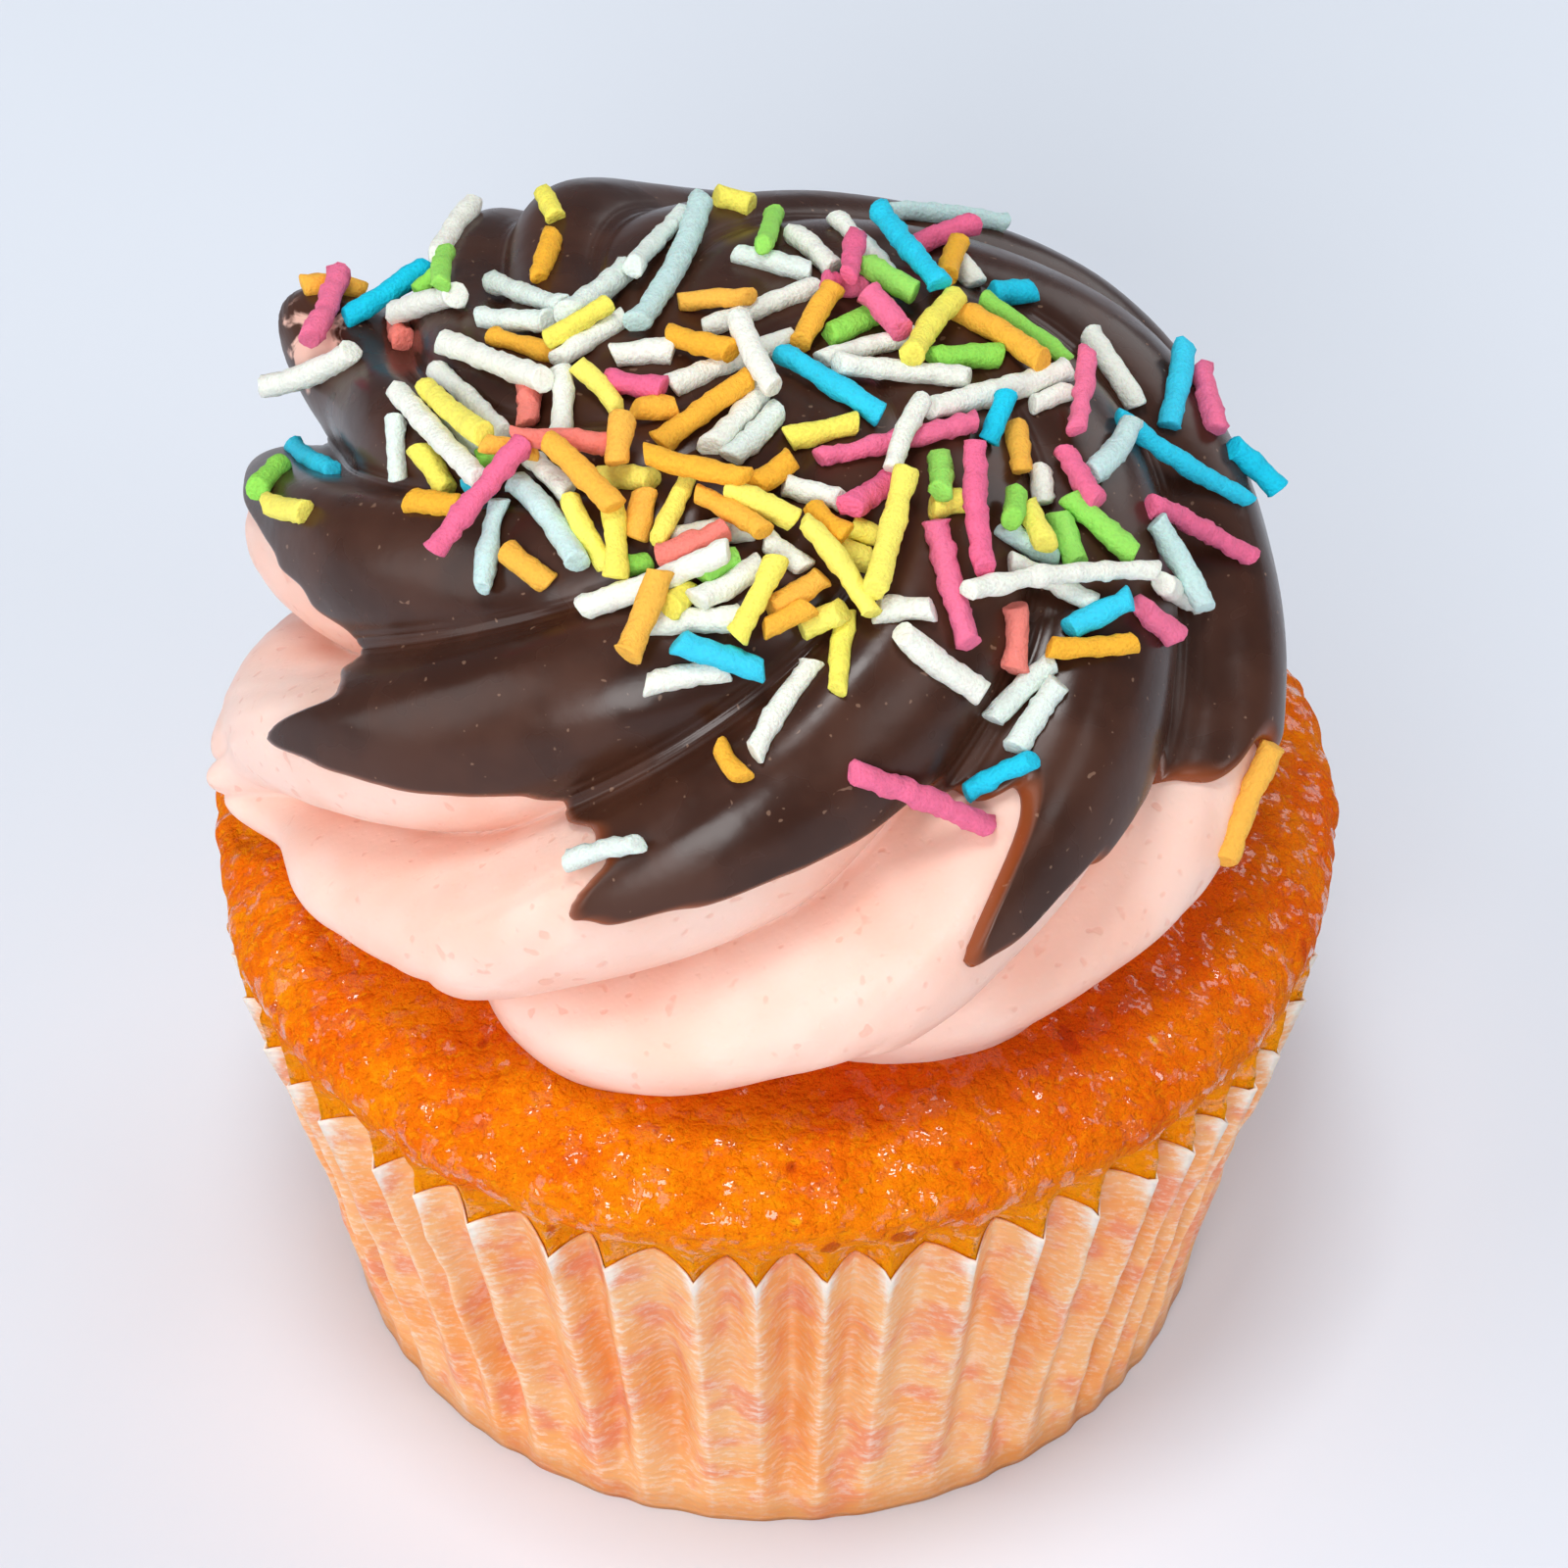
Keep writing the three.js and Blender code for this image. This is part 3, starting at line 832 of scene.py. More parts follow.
    def coat_radius(self, azimuth: Array, elevation: Array) -> Array:
        """Radius of the chocolate's outside, away from its edge: liquid, so its grooves are rounder.

        Args:
            azimuth: azimuth in degrees.
            elevation: elevation in degrees.

        Returns:
            The radius.
        """
        share = self.ridge_share(azimuth - self.twist(elevation))[1]
        profile = np.zeros(np.broadcast(share, elevation).shape)
        for shift, weight in zip(self.flow, self.flow_weights):
            profile = profile + weight * self.ridge_profile(np.mod(share + shift, 1.0), elevation)
        fill = self.groove_fill + self.top_fill * ease(22, 50, elevation)
        return self.body(azimuth, elevation, profile, fill) + self.coat

    def edge(self, phase: Array) -> Array:
        """Elevation of the chocolate's edge along a phase line, with its ragged tips.

        Args:
            phase: azimuth less twist, in degrees.

        Returns:
            The elevation.
        """
        angle = np.radians(phase)
        spot = np.stack([np.cos(angle) * 28, np.sin(angle) * 28, 0 * angle], axis=-1)
        line = sum(self.plain_edge(phase + shift) for shift in self.round_tips) / len(self.round_tips)
        return line + uneven(spot, self.ragged)

    def plain_edge(self, phase: Array) -> Array:
        """Elevation of the chocolate's edge before its tips are rounded.

        Args:
            phase: azimuth less twist, in degrees.

        Returns:
            The elevation.
        """
        number, share = self.ridge_share(phase)
        tips = np.array(self.edge_at_ridge, dtype=float) - self.tip_gain
        tip, after = tips[number], np.roll(tips, -1)[number]
        high = np.array(self.edge_in_groove, dtype=float)[number]
        turn = 0.62
        fall = tip + (high - tip) * np.clip(share / turn, 0, 1) ** 0.8
        past = np.array(self.edge_past_groove, dtype=float)[number]
        rise = past + (after - past) * np.clip((share - turn) / (1 - turn), 0, 1) ** 7
        return np.where(share < turn, fall, rise)

    def place(self, radius: Array, azimuth: Array, elevation: Array) -> Array:
        """Positions from the swirl's middle."""
        climb = np.radians(elevation)
        return polar(radius * np.cos(climb), azimuth, radius * np.sin(climb)) + np.array(self.middle)

    def direction(self, point: Array) -> tuple[Array, Array]:
        """Direction of a point, seen from the swirl's middle.

        Args:
            point: the position.

        Returns:
            Azimuth and elevation in degrees.
        """
        ray = point - np.array(self.middle)
        flat = np.hypot(ray[..., 0], ray[..., 1])
        return np.degrees(np.arctan2(ray[..., 1], ray[..., 0])), np.degrees(np.arctan2(ray[..., 2], flat))


@dataclass
class Buttercream:
    """The piped buttercream, standing on the dome."""

    swirl: Swirl
    sponge: Sponge
    columns: int = 800
    rows: int = 84
    hidden_rows: int = 14
    waves: Layers = ((0.16, 6.0, 9), (0.05, 1.8, 10))
    streak: Layers = ((0.05, 0.9, 12),)      # what the nozzle's teeth draw along the ridges

    def foot(self, phase: Array) -> Array:
        """Finds where each phase line meets the sponge, sunk in a little so that no gap shows.

        Args:
            phase: azimuth less twist, in degrees.

        Returns:
            The elevations.
        """
        low = np.full_like(phase, self.swirl.foot)
        high = np.full_like(phase, 6.0)
        for _ in range(24):
            middle = (low + high) / 2
            azimuth = phase + self.swirl.twist(middle)
            spot = self.swirl.place(self.swirl.cream_radius(azimuth, middle), azimuth, middle)
            clear = spot[:, 2] - self.sponge.dome(np.hypot(spot[:, 0], spot[:, 1])) + 0.3 > 0
            high = np.where(clear, middle, high)
            low = np.where(clear, low, middle)
        return high

    def build(self, finish: Finish) -> bpy.types.Object:
        """Makes the buttercream.

        Args:
            finish: the cream.

        Returns:
            The piece.
        """
        phase = np.arange(self.columns) * 360.0 / self.columns
        foot, edge = self.foot(phase), self.swirl.edge(phase) + 4
        share = np.linspace(0, 1, self.rows)[:, None]
        lower = foot + (edge - foot) * share
        upper = edge + (90 - edge) * (np.arange(1, self.hidden_rows)[:, None] / self.hidden_rows)
        elevation = np.concatenate([lower, upper])
        azimuth = phase + self.swirl.twist(elevation)
        radius = self.swirl.cream_radius(azimuth, elevation)
        shape = self.swirl.place(radius, azimuth, elevation)
        along = polar(np.array(30.0), phase, 0 * phase)
        radius = radius + uneven(shape, self.waves) + uneven(along, self.streak) * ease(-6, 6, elevation)
        shape = self.swirl.place(radius, azimuth, elevation)
        rim = shape[0]
        inward = np.array([0.15, 0.5, 0.8, 0.95])[:, None]
        flat = np.hypot(rim[:, 0], rim[:, 1]) * inward
        turn = np.degrees(np.arctan2(rim[:, 1], rim[:, 0])) + 0 * inward
        under = polar(flat, turn, np.minimum(self.sponge.dome(flat) - 0.4, rim[:, 2]))
        top = self.swirl.place(np.array(self.swirl.top_radius), np.array(0.0), np.array(90.0))
        bottom = np.array([0, 0, self.sponge.dome(np.array(0.0)) - 0.4])
        points, faces = skin(np.concatenate([under, shape]), bottom, top)
        return make_piece("buttercream_swirl", points, faces, {}, finish)


@dataclass
class ChocolateCoat:
    """Poured chocolate over the top of the swirl, running out into tongues along the ridges."""

    swirl: Swirl
    columns: int = 800
    lip_rows: int = 12
    rows: int = 70
    under_rows: int = 10
    waves: Layers = ((0.10, 7.0, 13), (0.03, 2.5, 14))
    thin: float = 3.2        # degrees up from its edge over which the coat is thin
    smear: tuple[float, ...] = (157, 34, 8, 7)    # cream wiped on the knob: azimuth, elevation, half widths

    def build(self, finish: Finish) -> bpy.types.Object:
        """Makes the coat.

        Args:
            finish: the chocolate.

        Returns:
            The piece.
        """
        swirl = self.swirl
        phase = np.arange(self.columns) * 360.0 / self.columns
        edge = swirl.edge(phase)
        lip = np.degrees(swirl.lip / 30.0) * np.linspace(0, 1, self.lip_rows)[:, None] ** 1.6
        start = edge + lip[-1]
        rest = np.linspace(0, 1, self.rows + 1)[1:-1, None]
        elevation = np.concatenate([edge + lip, start + (90 - start) * rest])
        azimuth = phase + swirl.twist(elevation)
        cream = swirl.cream_radius(azimuth, elevation)
        full = np.maximum(swirl.coat_radius(azimuth, elevation), cream + 0.5)
        depth = np.clip((elevation - edge) / np.degrees(swirl.lip / 30.0), 0, 1)
        round_lip = np.sqrt(np.clip(1 - (1 - depth) ** 2, 0, 1))
        radius = cream + 0.05 + (full - cream - 0.05) * round_lip
        shape = swirl.place(radius, azimuth, elevation)
        radius = radius + uneven(shape, self.waves) * round_lip
        shape = swirl.place(radius, azimuth, elevation)
        back = np.linspace(1, 0, self.under_rows + 1)[1:, None]
        low = edge + 1.0 + (90 - edge - 1.0) * back
        turn = phase + swirl.twist(low)
        under = swirl.place(swirl.cream_radius(turn, low) - 0.5, turn, low)
        peak = np.array(0.0), np.array(90.0)
        bottom = swirl.place(swirl.cream_radius(*peak) - 0.5, *peak)
        top = swirl.place(swirl.coat_radius(*peak), *peak)
        points, faces = skin(np.concatenate([under, shape]), bottom, top)
        thin = np.clip(1 - (elevation - edge) / self.thin, 0, 1)
        around, climb, wide, tall = self.smear
        turn = np.mod(azimuth - around + 180, 360) - 180
        smear = np.exp(-((turn / wide) ** 2) - ((elevation - climb) / tall) ** 2)
        marks = {"thin": thin, "smear": smear}
        marks = {label: ring_marks(np.concatenate([0 * low, values])) for label, values in marks.items()}
        return make_piece("chocolate_coat_poured", points, faces, marks, finish)


@dataclass(frozen=True)
class View:
    """The photograph's camera, which looks down on the cake from the front."""

    elevation: float = 44.0
    distance: float = 300.0
    target: tuple[float, float, float] = (0.6, 0.0, 36.9)
    lens: float = 112.66
    sensor: float = 36.0
    pixels: int = 1600

    def axes(self) -> tuple[Array, Array, Array]:
        """The camera's own axes.

        Returns:
            Right, up and forward.
        """
        climb = math.radians(self.elevation)
        up = np.array([0.0, math.sin(climb), math.cos(climb)])
        forward = np.array([0.0, math.cos(climb), -math.sin(climb)])
        return np.array([1.0, 0.0, 0.0]), up, forward

    def eye(self) -> Array:
        """Where the camera stands."""
        return np.array(self.target) - self.distance * self.axes()[2]

    def ray(self, across: float, down: float) -> Array:
        """Direction in which a pixel of the photograph looks.

        Args:
            across: pixels from the left edge.
            down: pixels from the top edge.

        Returns:
            A unit vector.
        """
        right, up, forward = self.axes()
        focal = self.lens / self.sensor * self.pixels
        middle = self.pixels / 2
        ray = forward + right * (across - middle) / focal - up * (down - middle) / focal
        return ray / np.linalg.norm(ray)


@dataclass
class Rod:
    """One sprinkle where it lies, from end to end."""

    start: Array
    end: Array
    normal: Array
    bend: float

    def spine(self, share: Array) -> Array:
        """Points along its middle line.

        Args:
            share: shares of the way from end to end.

        Returns:
            One position for each share.
        """
        along = self.end - self.start
        side = np.cross(self.normal, along / np.linalg.norm(along))
        share = np.asarray(share)[:, None]
        return self.start + along * share + side * self.bend * 4 * share * (1 - share)

    def moved(self, step: Array) -> "Rod":
        """The same sprinkle, moved by a step."""
        return Rod(self.start + step, self.end + step, self.normal, self.bend)


# Both ends of each sprinkle, in pixels of the photograph, by colour: first those that lie on the chocolate.
Ends = dict[Sugar, tuple[tuple[int, int, int, int], ...]]
LYING: Ends = {
    Sugar.WHITE: (
        (485, 205, 445, 262), (270, 395, 360, 358), (717, 335, 833, 292), (683, 393, 805, 345),
        (625, 363, 688, 358), (568, 367, 638, 323), (572, 375, 570, 450), (777, 397, 723, 457),
        (445, 378, 513, 443), (540, 467, 580, 503), (687, 550, 773, 540), (780, 550, 823, 580),
        (800, 493, 860, 510), (893, 623, 953, 623), (857, 210, 917, 275), (810, 238, 850, 275),
        (975, 265, 998, 290), (837, 367, 933, 343), (853, 370, 990, 385), (950, 417, 1090, 377),
        (1053, 413, 1092, 397), (1063, 480, 1064, 514), (1110, 340, 1160, 415), (1030, 573, 1115, 615),
        (1185, 595, 1225, 615), (920, 645, 1005, 708), (770, 770, 830, 675), (658, 700, 742, 685),
        (650, 637, 755, 632)),
    Sugar.MINT: (
        (502, 288, 575, 312), (488, 323, 562, 326), (575, 322, 642, 270), (645, 272, 700, 215),
        (752, 258, 828, 278), (793, 420, 743, 467), (405, 427, 407, 490), (1012, 735, 1075, 675),
        (1035, 765, 1080, 695), (578, 880, 652, 862), (457, 425, 496, 457)),
    Sugar.AQUA: (
        (715, 205, 650, 330), (910, 215, 1025, 228), (1183, 530, 1235, 620), (525, 490, 590, 575),
        (507, 507, 490, 600), (1023, 537, 1077, 570), (1118, 480, 1158, 428)),
    Sugar.YELLOW: (
        (556, 198, 568, 222), (275, 515, 312, 522), (730, 202, 768, 210), (587, 370, 632, 420),
        (433, 393, 493, 443), (427, 457, 457, 503), (580, 507, 620, 577), (623, 513, 628, 590),
        (610, 487, 667, 490), (702, 483, 670, 553), (683, 620, 707, 600), (853, 557, 887, 573),
        (868, 538, 905, 550), (803, 447, 873, 430), (1047, 517, 1070, 557), (865, 625, 855, 705),
        (817, 643, 860, 623), (950, 517, 985, 510)),
    Sugar.ORANGE: (
        (565, 238, 548, 285), (308, 290, 370, 297), (683, 342, 748, 358), (692, 308, 767, 303),
        (647, 417, 692, 417), (420, 510, 473, 517), (492, 452, 547, 460), (763, 387, 673, 453),
        (657, 503, 648, 550), (710, 503, 780, 543), (767, 497, 810, 467), (787, 623, 840, 587),
        (780, 643, 827, 617), (830, 520, 863, 547), (517, 563, 560, 597), (733, 762, 760, 795),
        (1300, 760, 1250, 880), (980, 317, 1065, 370), (980, 248, 967, 283), (1037, 437, 1042, 482)),
    Sugar.PINK: (
        (620, 387, 677, 397), (835, 467, 995, 430), (865, 517, 913, 487), (955, 530, 990, 657),
        (1087, 457, 1120, 513), (935, 245, 995, 222), (1228, 372, 1246, 434), (1175, 515, 1275, 568),
        (1172, 615, 1210, 650), (870, 790, 1010, 845), (840, 287, 885, 292)),
    Sugar.CORAL: (
        (405, 315, 410, 345), (540, 397, 537, 433), (523, 445, 620, 453), (1037, 617, 1033, 685)),
    Sugar.BLUE: (
        (435, 270, 350, 325), (300, 455, 340, 480), (1010, 298, 1052, 298), (1215, 345, 1200, 425),
        (1140, 425, 1275, 510), (1258, 455, 1305, 500), (1090, 642, 1155, 610), (985, 810, 1055, 775),
        (690, 655, 780, 685), (797, 358, 900, 423), (1027, 403, 1007, 450), (478, 498, 506, 492)),
    Sugar.GREEN: (
        (262, 500, 290, 470), (778, 252, 790, 217), (845, 342, 907, 310), (883, 268, 933, 300),
        (1003, 307, 1090, 368), (950, 367, 1020, 363), (957, 467, 960, 503), (1037, 497, 1033, 530),
        (1080, 523, 1100, 577), (1090, 507, 1157, 568), (640, 577, 663, 573), (713, 587, 747, 570),
        (488, 470, 520, 468), (425, 300, 447, 275)),
}
# Then those that lie across others.
ON_TOP: Ends = {
    Sugar.WHITE: (
        (460, 295, 395, 315), (753, 323, 790, 397), (943, 407, 913, 477), (593, 620, 743, 560),
        (710, 613, 773, 577), (993, 600, 1190, 580), (453, 347, 555, 387), (403, 397, 490, 490)),
    Sugar.YELLOW: (
        (557, 347, 620, 310), (743, 500, 812, 530), (793, 570, 750, 650), (820, 530, 890, 627),
        (927, 477, 893, 603), (977, 300, 930, 363)),
    Sugar.ORANGE: (
        (503, 343, 567, 363), (635, 427, 628, 473), (560, 450, 627, 517), (657, 463, 763, 487),
        (673, 580, 640, 668), (853, 290, 817, 350), (1070, 660, 1158, 655)),
    Sugar.PINK: (
        (345, 280, 315, 345), (535, 453, 443, 563), (873, 240, 865, 282), (884, 295, 920, 337),
        (995, 450, 1005, 583), (1110, 357, 1100, 440)),
    Sugar.CORAL: ((673, 570, 740, 540),),
    Sugar.BLUE: ((897, 215, 960, 290),),
    Sugar.GREEN: ((455, 257, 450, 290),),
}


@dataclass
class Sprinkles:
    """Sugar sprinkles: each that the photograph shows lies where it is seen, and a few are strewn behind."""

    swirl: Swirl
    view: View
    radius: float = 0.66
    sink: float = 0.2
    stack: float = 1.7       # least distance between crossing middle lines, in radii
    highest: float = 3.2     # no sprinkle is lifted further than this
    sides: int = 12
    step: float = 0.3        # ring spacing along a sprinkle
    nearby: float = 18.0     # sprinkles whose middles are further apart don't touch
    behind: int = 80
    seed: int = 20
    bow: float = 0.09        # range of their bend, as a share of their length
    girth: float = 0.12      # how much they differ in thickness
    wrinkle: tuple[float, float] = (0.06, 0.42)   # share of the thickness, and spacing
    lumps: float = 0.1
    crust: float = 0.1       # roughness of the skin, and of the coarser red ones
    red_crust: float = 0.17
    broken: float = 1.6      # how much rougher the ends are
    slant: float = 0.22      # how far the broken ends lean
    rods: list[tuple[Sugar, Rod]] = field(default_factory=list)

    def under(self, point: Array) -> Array:
        """The icing's surface in the direction of points: chocolate, or cream below the chocolate's edge.

        Args:
            point: positions near the icing.

        Returns:
            The positions on its surface.
        """
        azimuth, elevation = self.swirl.direction(point)
        inside = elevation > self.swirl.edge(azimuth - self.swirl.twist(elevation))
        radius = np.where(
            inside, self.swirl.coat_radius(azimuth, elevation), self.swirl.cream_radius(azimuth, elevation))
        return self.swirl.place(radius, azimuth, elevation)

    def height(self, point: Array) -> Array:
        """How far points stand outside the icing, along the line from the swirl's middle.

        Args:
            point: the positions.

        Returns:
            Their heights.
        """
        middle = np.array(self.swirl.middle)
        icing = np.linalg.norm(self.under(point) - middle, axis=-1)
        return np.linalg.norm(point - middle, axis=-1) - icing

    def seen(self, across: float, down: float, lift: float) -> Array:
        """Finds the point that a pixel of the photograph shows, at a height over the icing.

        Args:
            across: pixels from the left edge.
            down: pixels from the top edge.
            lift: height over the icing.

        Returns:
            The point, or the nearest pass where the pixel looks past the icing.
        """
        reach = self.view.distance + np.arange(-75.0, 45.0, 0.25)
        points = self.view.eye() + self.view.ray(across, down) * reach[:, None]
        height = self.height(points) - lift
        hit = int(np.argmax(height < 0)) if (height < 0).any() else int(np.argmin(height))
        return points[hit]

    def normal(self, point: Array) -> Array:
        """Outward normal of the icing, evened out over a few degrees.

        Args:
            point: a position near the icing.

        Returns:
            A unit vector.
        """
        azimuth, elevation = self.swirl.direction(point)
        around = azimuth + np.array([2.2, -2.2, 0, 0])
        climb = elevation + np.array([0, 0, 2.2, -2.2])
        east, west, north, south = self.under(self.swirl.place(np.array(30.0), around, climb))
        across = np.cross(east - west, north - south)
        return across / np.linalg.norm(across)

    def crossing(self, one: Rod, other: Rod) -> tuple[float, float]:
        """Finds where two sprinkles come closest.

        Args:
            one: the upper sprinkle.
            other: the lower one.

        Returns:
            Distance between their middle lines, and the share along the upper one.
        """
        shares = np.linspace(0, 1, 13)
        gaps = np.linalg.norm(one.spine(shares)[:, None] - other.spine(shares), axis=-1).min(axis=1)
        return float(gaps.min()), float(shares[gaps.argmin()])

    def lay(self, ends: tuple[int, int, int, int], bend: float) -> Rod:
        """Lays one sprinkle where the photograph shows it, on the icing and on the sprinkles below it.

        Args:
            ends: pixels of its two ends.
            bend: how far its middle bows, as a share of its length.

        Returns:
            The sprinkle.
        """
        rest = self.radius - self.sink
        apart = self.stack * self.radius
        inner = np.linspace(0.05, 0.95, 9)
        lifts = np.array([rest, rest])
        rod = self.between(ends, lifts, bend)
        for _ in range(5):
            lifts = lifts + max(0.0, rest - float(self.height(rod.spine(inner)).min()) - 0.15)
            for gap, share in self.near(rod):
                tilt = np.array([min(1.0, 2 - 2 * share), min(1.0, 2 * share)])
                lifts = lifts + max(0.0, apart - gap) * tilt
            lifts = np.minimum(lifts, self.highest)
            rod = self.between(ends, lifts, bend)
        spare = [float(self.height(rod.spine(inner)).min()) - rest]
        spare += [gap - apart for gap, _ in self.near(rod)]
        return rod.moved(-max(0.0, min(spare)) * rod.normal)

    def near(self, rod: Rod) -> list[tuple[float, float]]:
        """Finds where a sprinkle comes closest to each one nearby.

        Args:
            rod: the sprinkle.

        Returns:
            Distance between the middle lines, and the share along the sprinkle, for each.
        """
        middle = rod.start + rod.end
        return [
            self.crossing(rod, other) for _, other in self.rods
            if np.linalg.norm(middle - other.start - other.end) <= 2 * self.nearby]

    def between(self, ends: tuple[int, int, int, int], lifts: Array, bend: float) -> Rod:
        """Makes a sprinkle between two pixels.

        Args:
            ends: pixels of its two ends.
            lifts: height over the icing at each end.
            bend: how far its middle bows, as a share of its length.

        Returns:
            The sprinkle, let down where it would float.
        """
        start, end = self.seen(*ends[:2], lifts[0]), self.seen(*ends[2:], lifts[1])
        normal = self.normal((start + end) / 2)
        rod = Rod(start, end, normal, bend * float(np.linalg.norm(end - start)))
        lowest = float(self.height(rod.spine(np.linspace(0, 1, 9))).min())
        return rod.moved(-max(0.0, lowest - float(lifts.max())) * normal)

    def hidden(self, point: Array) -> bool:
        """Tells whether the icing hides a point from the photograph's camera.

        Args:
            point: the point.

        Returns:
            True where it is hidden.
        """
        towards = self.view.eye() - point
        reach = np.arange(1.0, 60.0, 0.5)[:, None] / np.linalg.norm(towards)
        return bool((self.height(point + towards * reach) < 0).any())

    def strew(self, draw: Randoms) -> None:
        """Strews a few sprinkles on the back of the swirl, which the photograph doesn't show.

        Args:
            draw: the stream that places them.
        """
        colours = list(Sugar)
        for number in range(self.behind):
            azimuth, elevation = 35 + 110 * draw(), 20 + 20 * draw()
            spot = self.under(self.swirl.place(np.array(30.0), np.array(azimuth), np.array(elevation)))
            normal = self.normal(spot)
            along = np.cross(normal, [draw() - 0.5, draw() - 0.5, 0.6])
            along *= (1.8 + 1.6 * draw()) / np.linalg.norm(along)
            rod = Rod(spot - along, spot + along, normal, 0.1 * (draw() - 0.5))
            lift = self.radius - self.sink - float(self.height(rod.spine(np.linspace(0, 1, 9))).min())
            rod = rod.moved(normal * lift)
            if not all(self.hidden(end + normal * 2 * self.radius) for end in (rod.start, rod.end)):
                continue
            if all(self.crossing(rod, other)[0] > self.stack * self.radius for _, other in self.rods):
                self.rods.append((colours[number % len(colours)], rod))

    def body(self, rod: Rod, number: int, crust: float) -> tuple[Array, Faces]:
        """Meshes one sprinkle: a bent rod with cut ends, fine wrinkles round it and a rough skin.

        Args:
            rod: where it lies.
            number: its number, which seeds its roughness.
            crust: how rough its skin is, in millimetres.

        Returns:
            Its points and faces.
        """
        length = float(np.linalg.norm(rod.end - rod.start))
        along = (rod.end - rod.start) / length
        side = np.cross(rod.normal, along)
        side /= np.linalg.norm(side)
        up = np.cross(along, side)
        inner = np.linspace(0.09, length - 0.09, max(6, round(length / self.step)))
        share = np.concatenate([[0.0, 0.03], inner, [length - 0.03, length]]) / length
        girth = self.radius * (1 + self.girth * math.sin(2.1 * number)) * np.ones(len(share))
        girth[[0, -1]] *= 0.78
        girth[[1, -2]] *= 0.92
        line = rod.spine(share)
        angle = np.arange(self.sides) * 2 * np.pi / self.sides
        spoke = np.cos(angle)[:, None] * side + np.sin(angle)[:, None] * up
        rate, spacing = self.wrinkle
        beside = np.stack([share * length, 0 * share, 0 * share + number], axis=-1)
        girth = girth * (1 + rate * grain(beside, spacing, number))
        rings = line[:, None, :] + girth[:, None, None] * spoke
        rough = uneven(rings, ((self.lumps, 1.6, 20 + number), (crust, 0.45, 220 + number)))
        rough[[0, 1, 2, -3, -2, -1]] *= self.broken
        rings = rings + rough[..., None] * spoke
        slant = self.slant * np.sin(angle + number)[:, None] * along
        rings[:3] += slant
        rings[-3:] -= slant
        return skin(rings, line[0] - along * 0.02, line[-1] + along * 0.02)

    def build(self) -> Iterator[bpy.types.Object]:
        """Lays them all and makes one piece for each colour.

        Returns:
            Each piece.
        """
        draw = Randoms(self.seed)
        for layer in (LYING, ON_TOP):
            for sugar, seen in layer.items():
                for ends in seen:
                    self.rods.append((sugar, self.lay(ends, self.bow * (draw() - 0.5))))
        self.strew(draw)
        heaps: dict[Sugar, list[tuple[Array, Faces]]] = {sugar: [] for sugar in Sugar}
        for number, (sugar, rod) in enumerate(self.rods):
            crust = self.red_crust if sugar in (Sugar.PINK, Sugar.CORAL) else self.crust
            heaps[sugar].append(self.body(rod, number, crust))
        for sugar, rods in heaps.items():
            starts = np.cumsum([0] + [len(points) for points, _ in rods])
            points = np.vstack([points for points, _ in rods])
            faces = [[int(c + start) for c in face] for (_, rod), start in zip(rods, starts) for face in rod]
            tone = np.concatenate([np.full(len(rod[0]), (i * 0.618) % 1) for i, rod in enumerate(rods)])
            finish = SugarSprinkle(f"dried sugar paste, {sugar.name.lower()}", sugar.value)
            yield make_piece(f"sprinkles_{sugar.name.lower()}", points, faces, {"tone": tone}, finish)


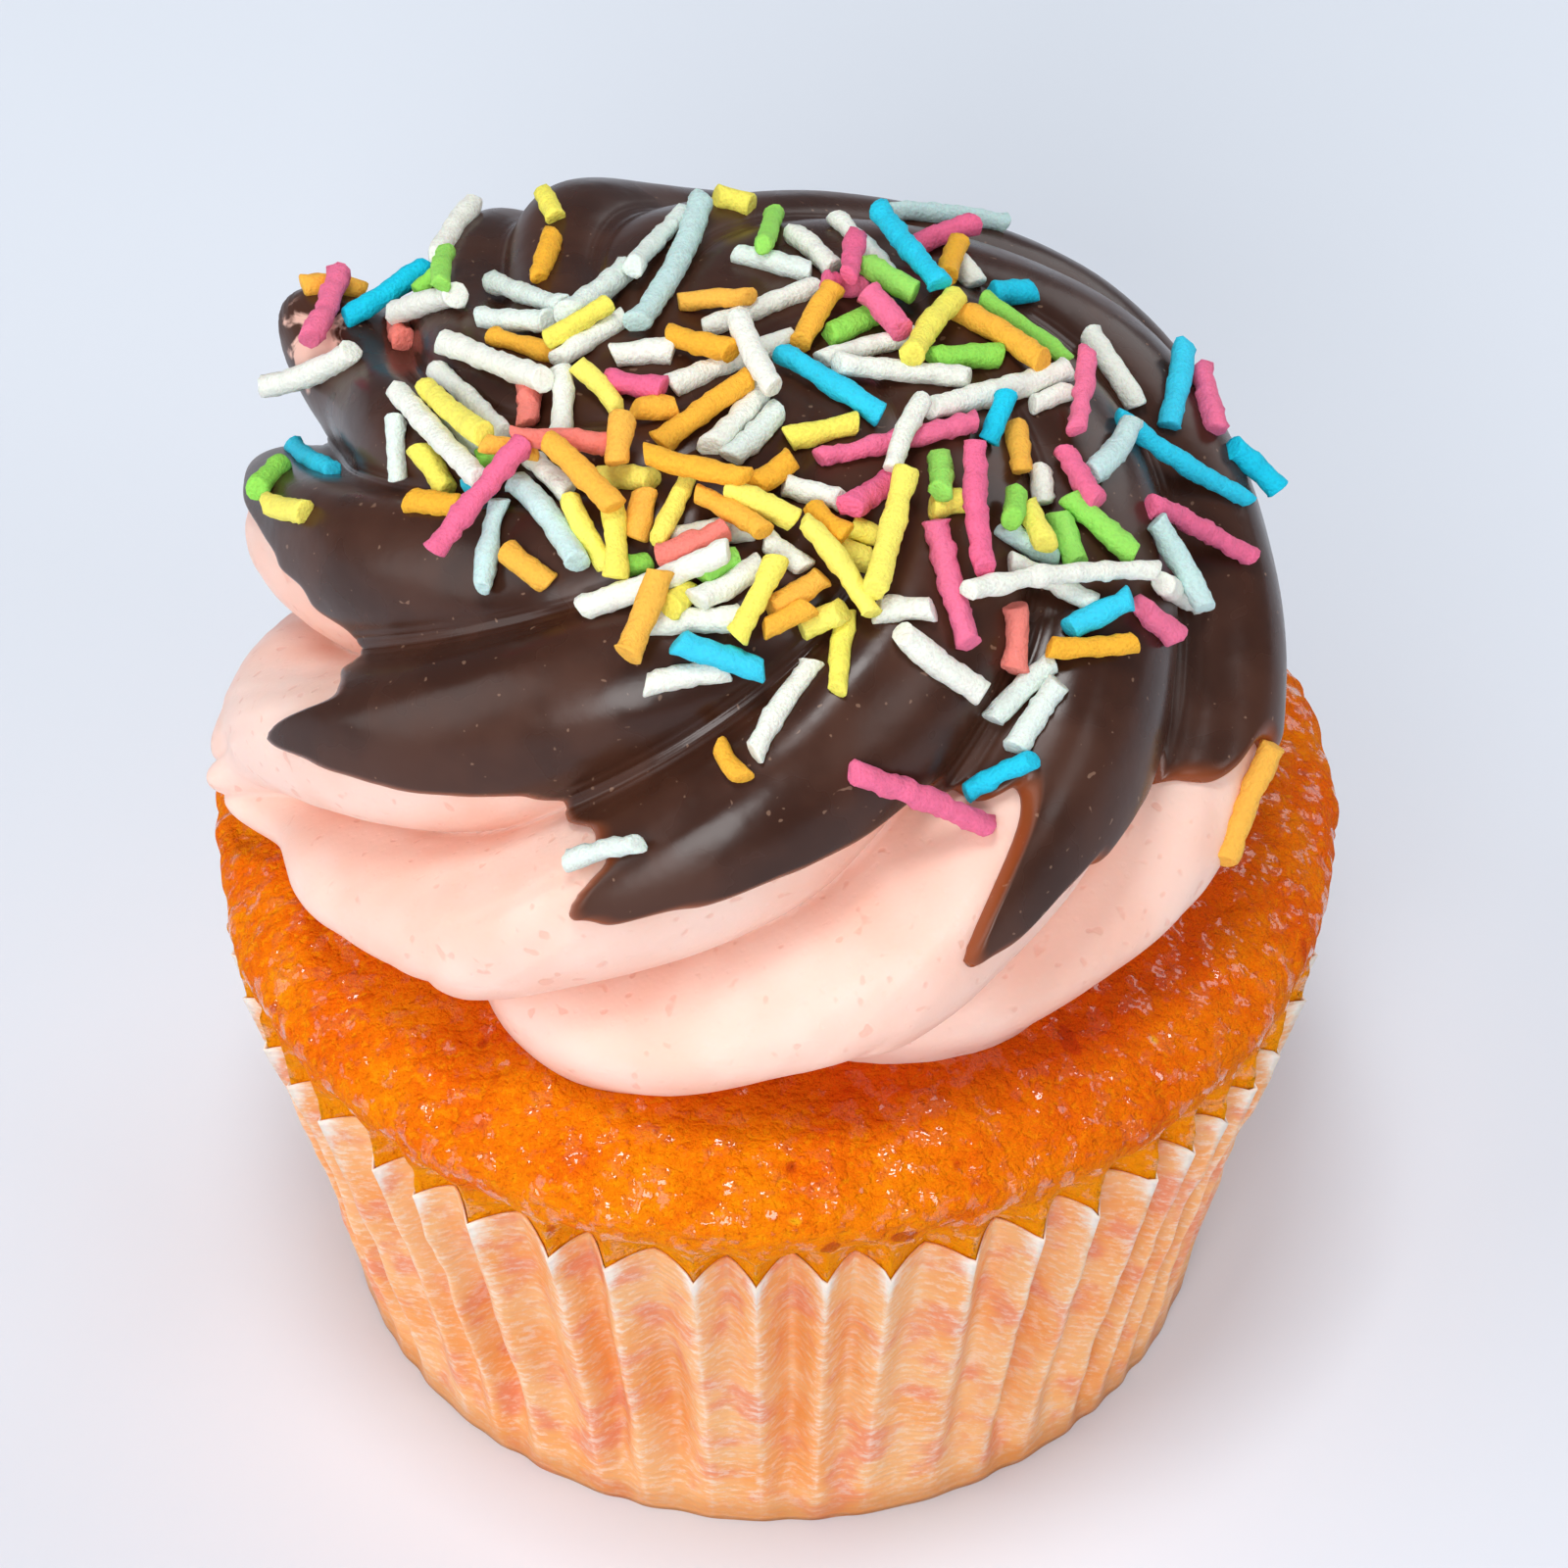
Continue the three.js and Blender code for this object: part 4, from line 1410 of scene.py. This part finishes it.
@dataclass
class Studio:
    """Pale table, soft light from the front and the left, and the camera at the photograph's angle."""

    view: View
    room: str = "e6eefa"
    room_light: float = 0.25
    table: float = 4.0       # side of the table top in metres
    aim: float = 40.0        # height that the lights are aimed at
    lights: tuple[tuple[str, tuple[float, float, float], float, float], ...] = (
        ("front", (-400, -1960, 1040), 1.0, 25.0),
        ("left", (-1900, -600, 950), 1.6, 17.0),
        ("back", (900, 900, 700), 0.9, 5.0),
        ("top", (-80, -150, 1000), 0.28, 3.8),
        ("right", (800, -600, 720), 0.45, 1.7),
    )

    def build(self) -> None:
        """Makes the table, the lights and the camera."""
        scene = bpy.context.scene
        scene.view_settings.view_transform = "Standard"
        bpy.ops.mesh.primitive_plane_add(size=self.table, location=(0, 0, 0))
        table = bpy.context.object
        table.name = "table_top"
        table.data.materials.append(MattTable("matt white table paint").material())
        world = bpy.data.worlds.new("soft room")
        world.use_nodes = True
        sky = world.node_tree.nodes["Background"]
        sky.inputs["Color"].default_value = linear(self.room)
        sky.inputs["Strength"].default_value = self.room_light
        scene.world = world
        for lamp in self.lights:
            self.light(*lamp)
        data = bpy.data.cameras.new("camera")
        data.lens = self.view.lens
        data.sensor_width = self.view.sensor
        camera = bpy.data.objects.new("camera", data)
        camera.location = Vector(self.view.eye()) * MM
        camera.rotation_euler = (math.radians(90 - self.view.elevation), 0, 0)
        data.clip_start = 0.01
        scene.collection.objects.link(camera)
        scene.camera = camera

    def light(self, name: str, place: Sequence[float], size: float, power: float) -> None:
        """Adds a soft square light aimed at the cake.

        Args:
            name: the light's name.
            place: its position in millimetres.
            size: its side in metres.
            power: its power in watts.
        """
        data = bpy.data.lights.new(name, "AREA")
        data.size = size
        data.energy = power
        lamp = bpy.data.objects.new(name, data)
        lamp.location = Vector(place) * MM
        aim = Vector((0, 0, self.aim)) * MM - lamp.location
        lamp.rotation_euler = aim.to_track_quat("-Z", "Y").to_euler()
        bpy.context.scene.collection.objects.link(lamp)


def settle(piece: bpy.types.Object, slot: str, node: str) -> None:
    """Puts a piece on the part's body and logs it.

    Args:
        piece: the piece.
        slot: not used.
        node: the solid that it stands for.
    """
    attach(piece, ROOT)
    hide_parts(node)
    LOG.info("%s: %d faces", piece.name, len(piece.data.polygons))


def main() -> None:
    """Builds the pieces in order, then the studio."""
    logging.basicConfig(level=logging.INFO, format="%(message)s")
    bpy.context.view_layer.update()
    case = PaperCase()
    sponge = Sponge(case)
    swirl = Swirl()
    cake = (
        (case, BakingPaper("greaseproof paper, pleated"), "baking_paper", "paper_case"),
        (sponge, BakedSponge("moist baked sponge"), "sponge", "sponge_cake"),
        (Buttercream(swirl, sponge), PipedButtercream("piped buttercream"), "buttercream", "buttercream"),
        (ChocolateCoat(swirl), PouredChocolate("poured chocolate"), "chocolate", "chocolate_coat"))
    for layer, finish, slot, node in cake:
        settle(layer.build(finish), slot, node)
    view = View()
    for piece in Sprinkles(swirl, view).build():
        settle(piece, "chocolate", "chocolate_coat")
    Studio(view).build()


if __name__ == "__main__":
    main()
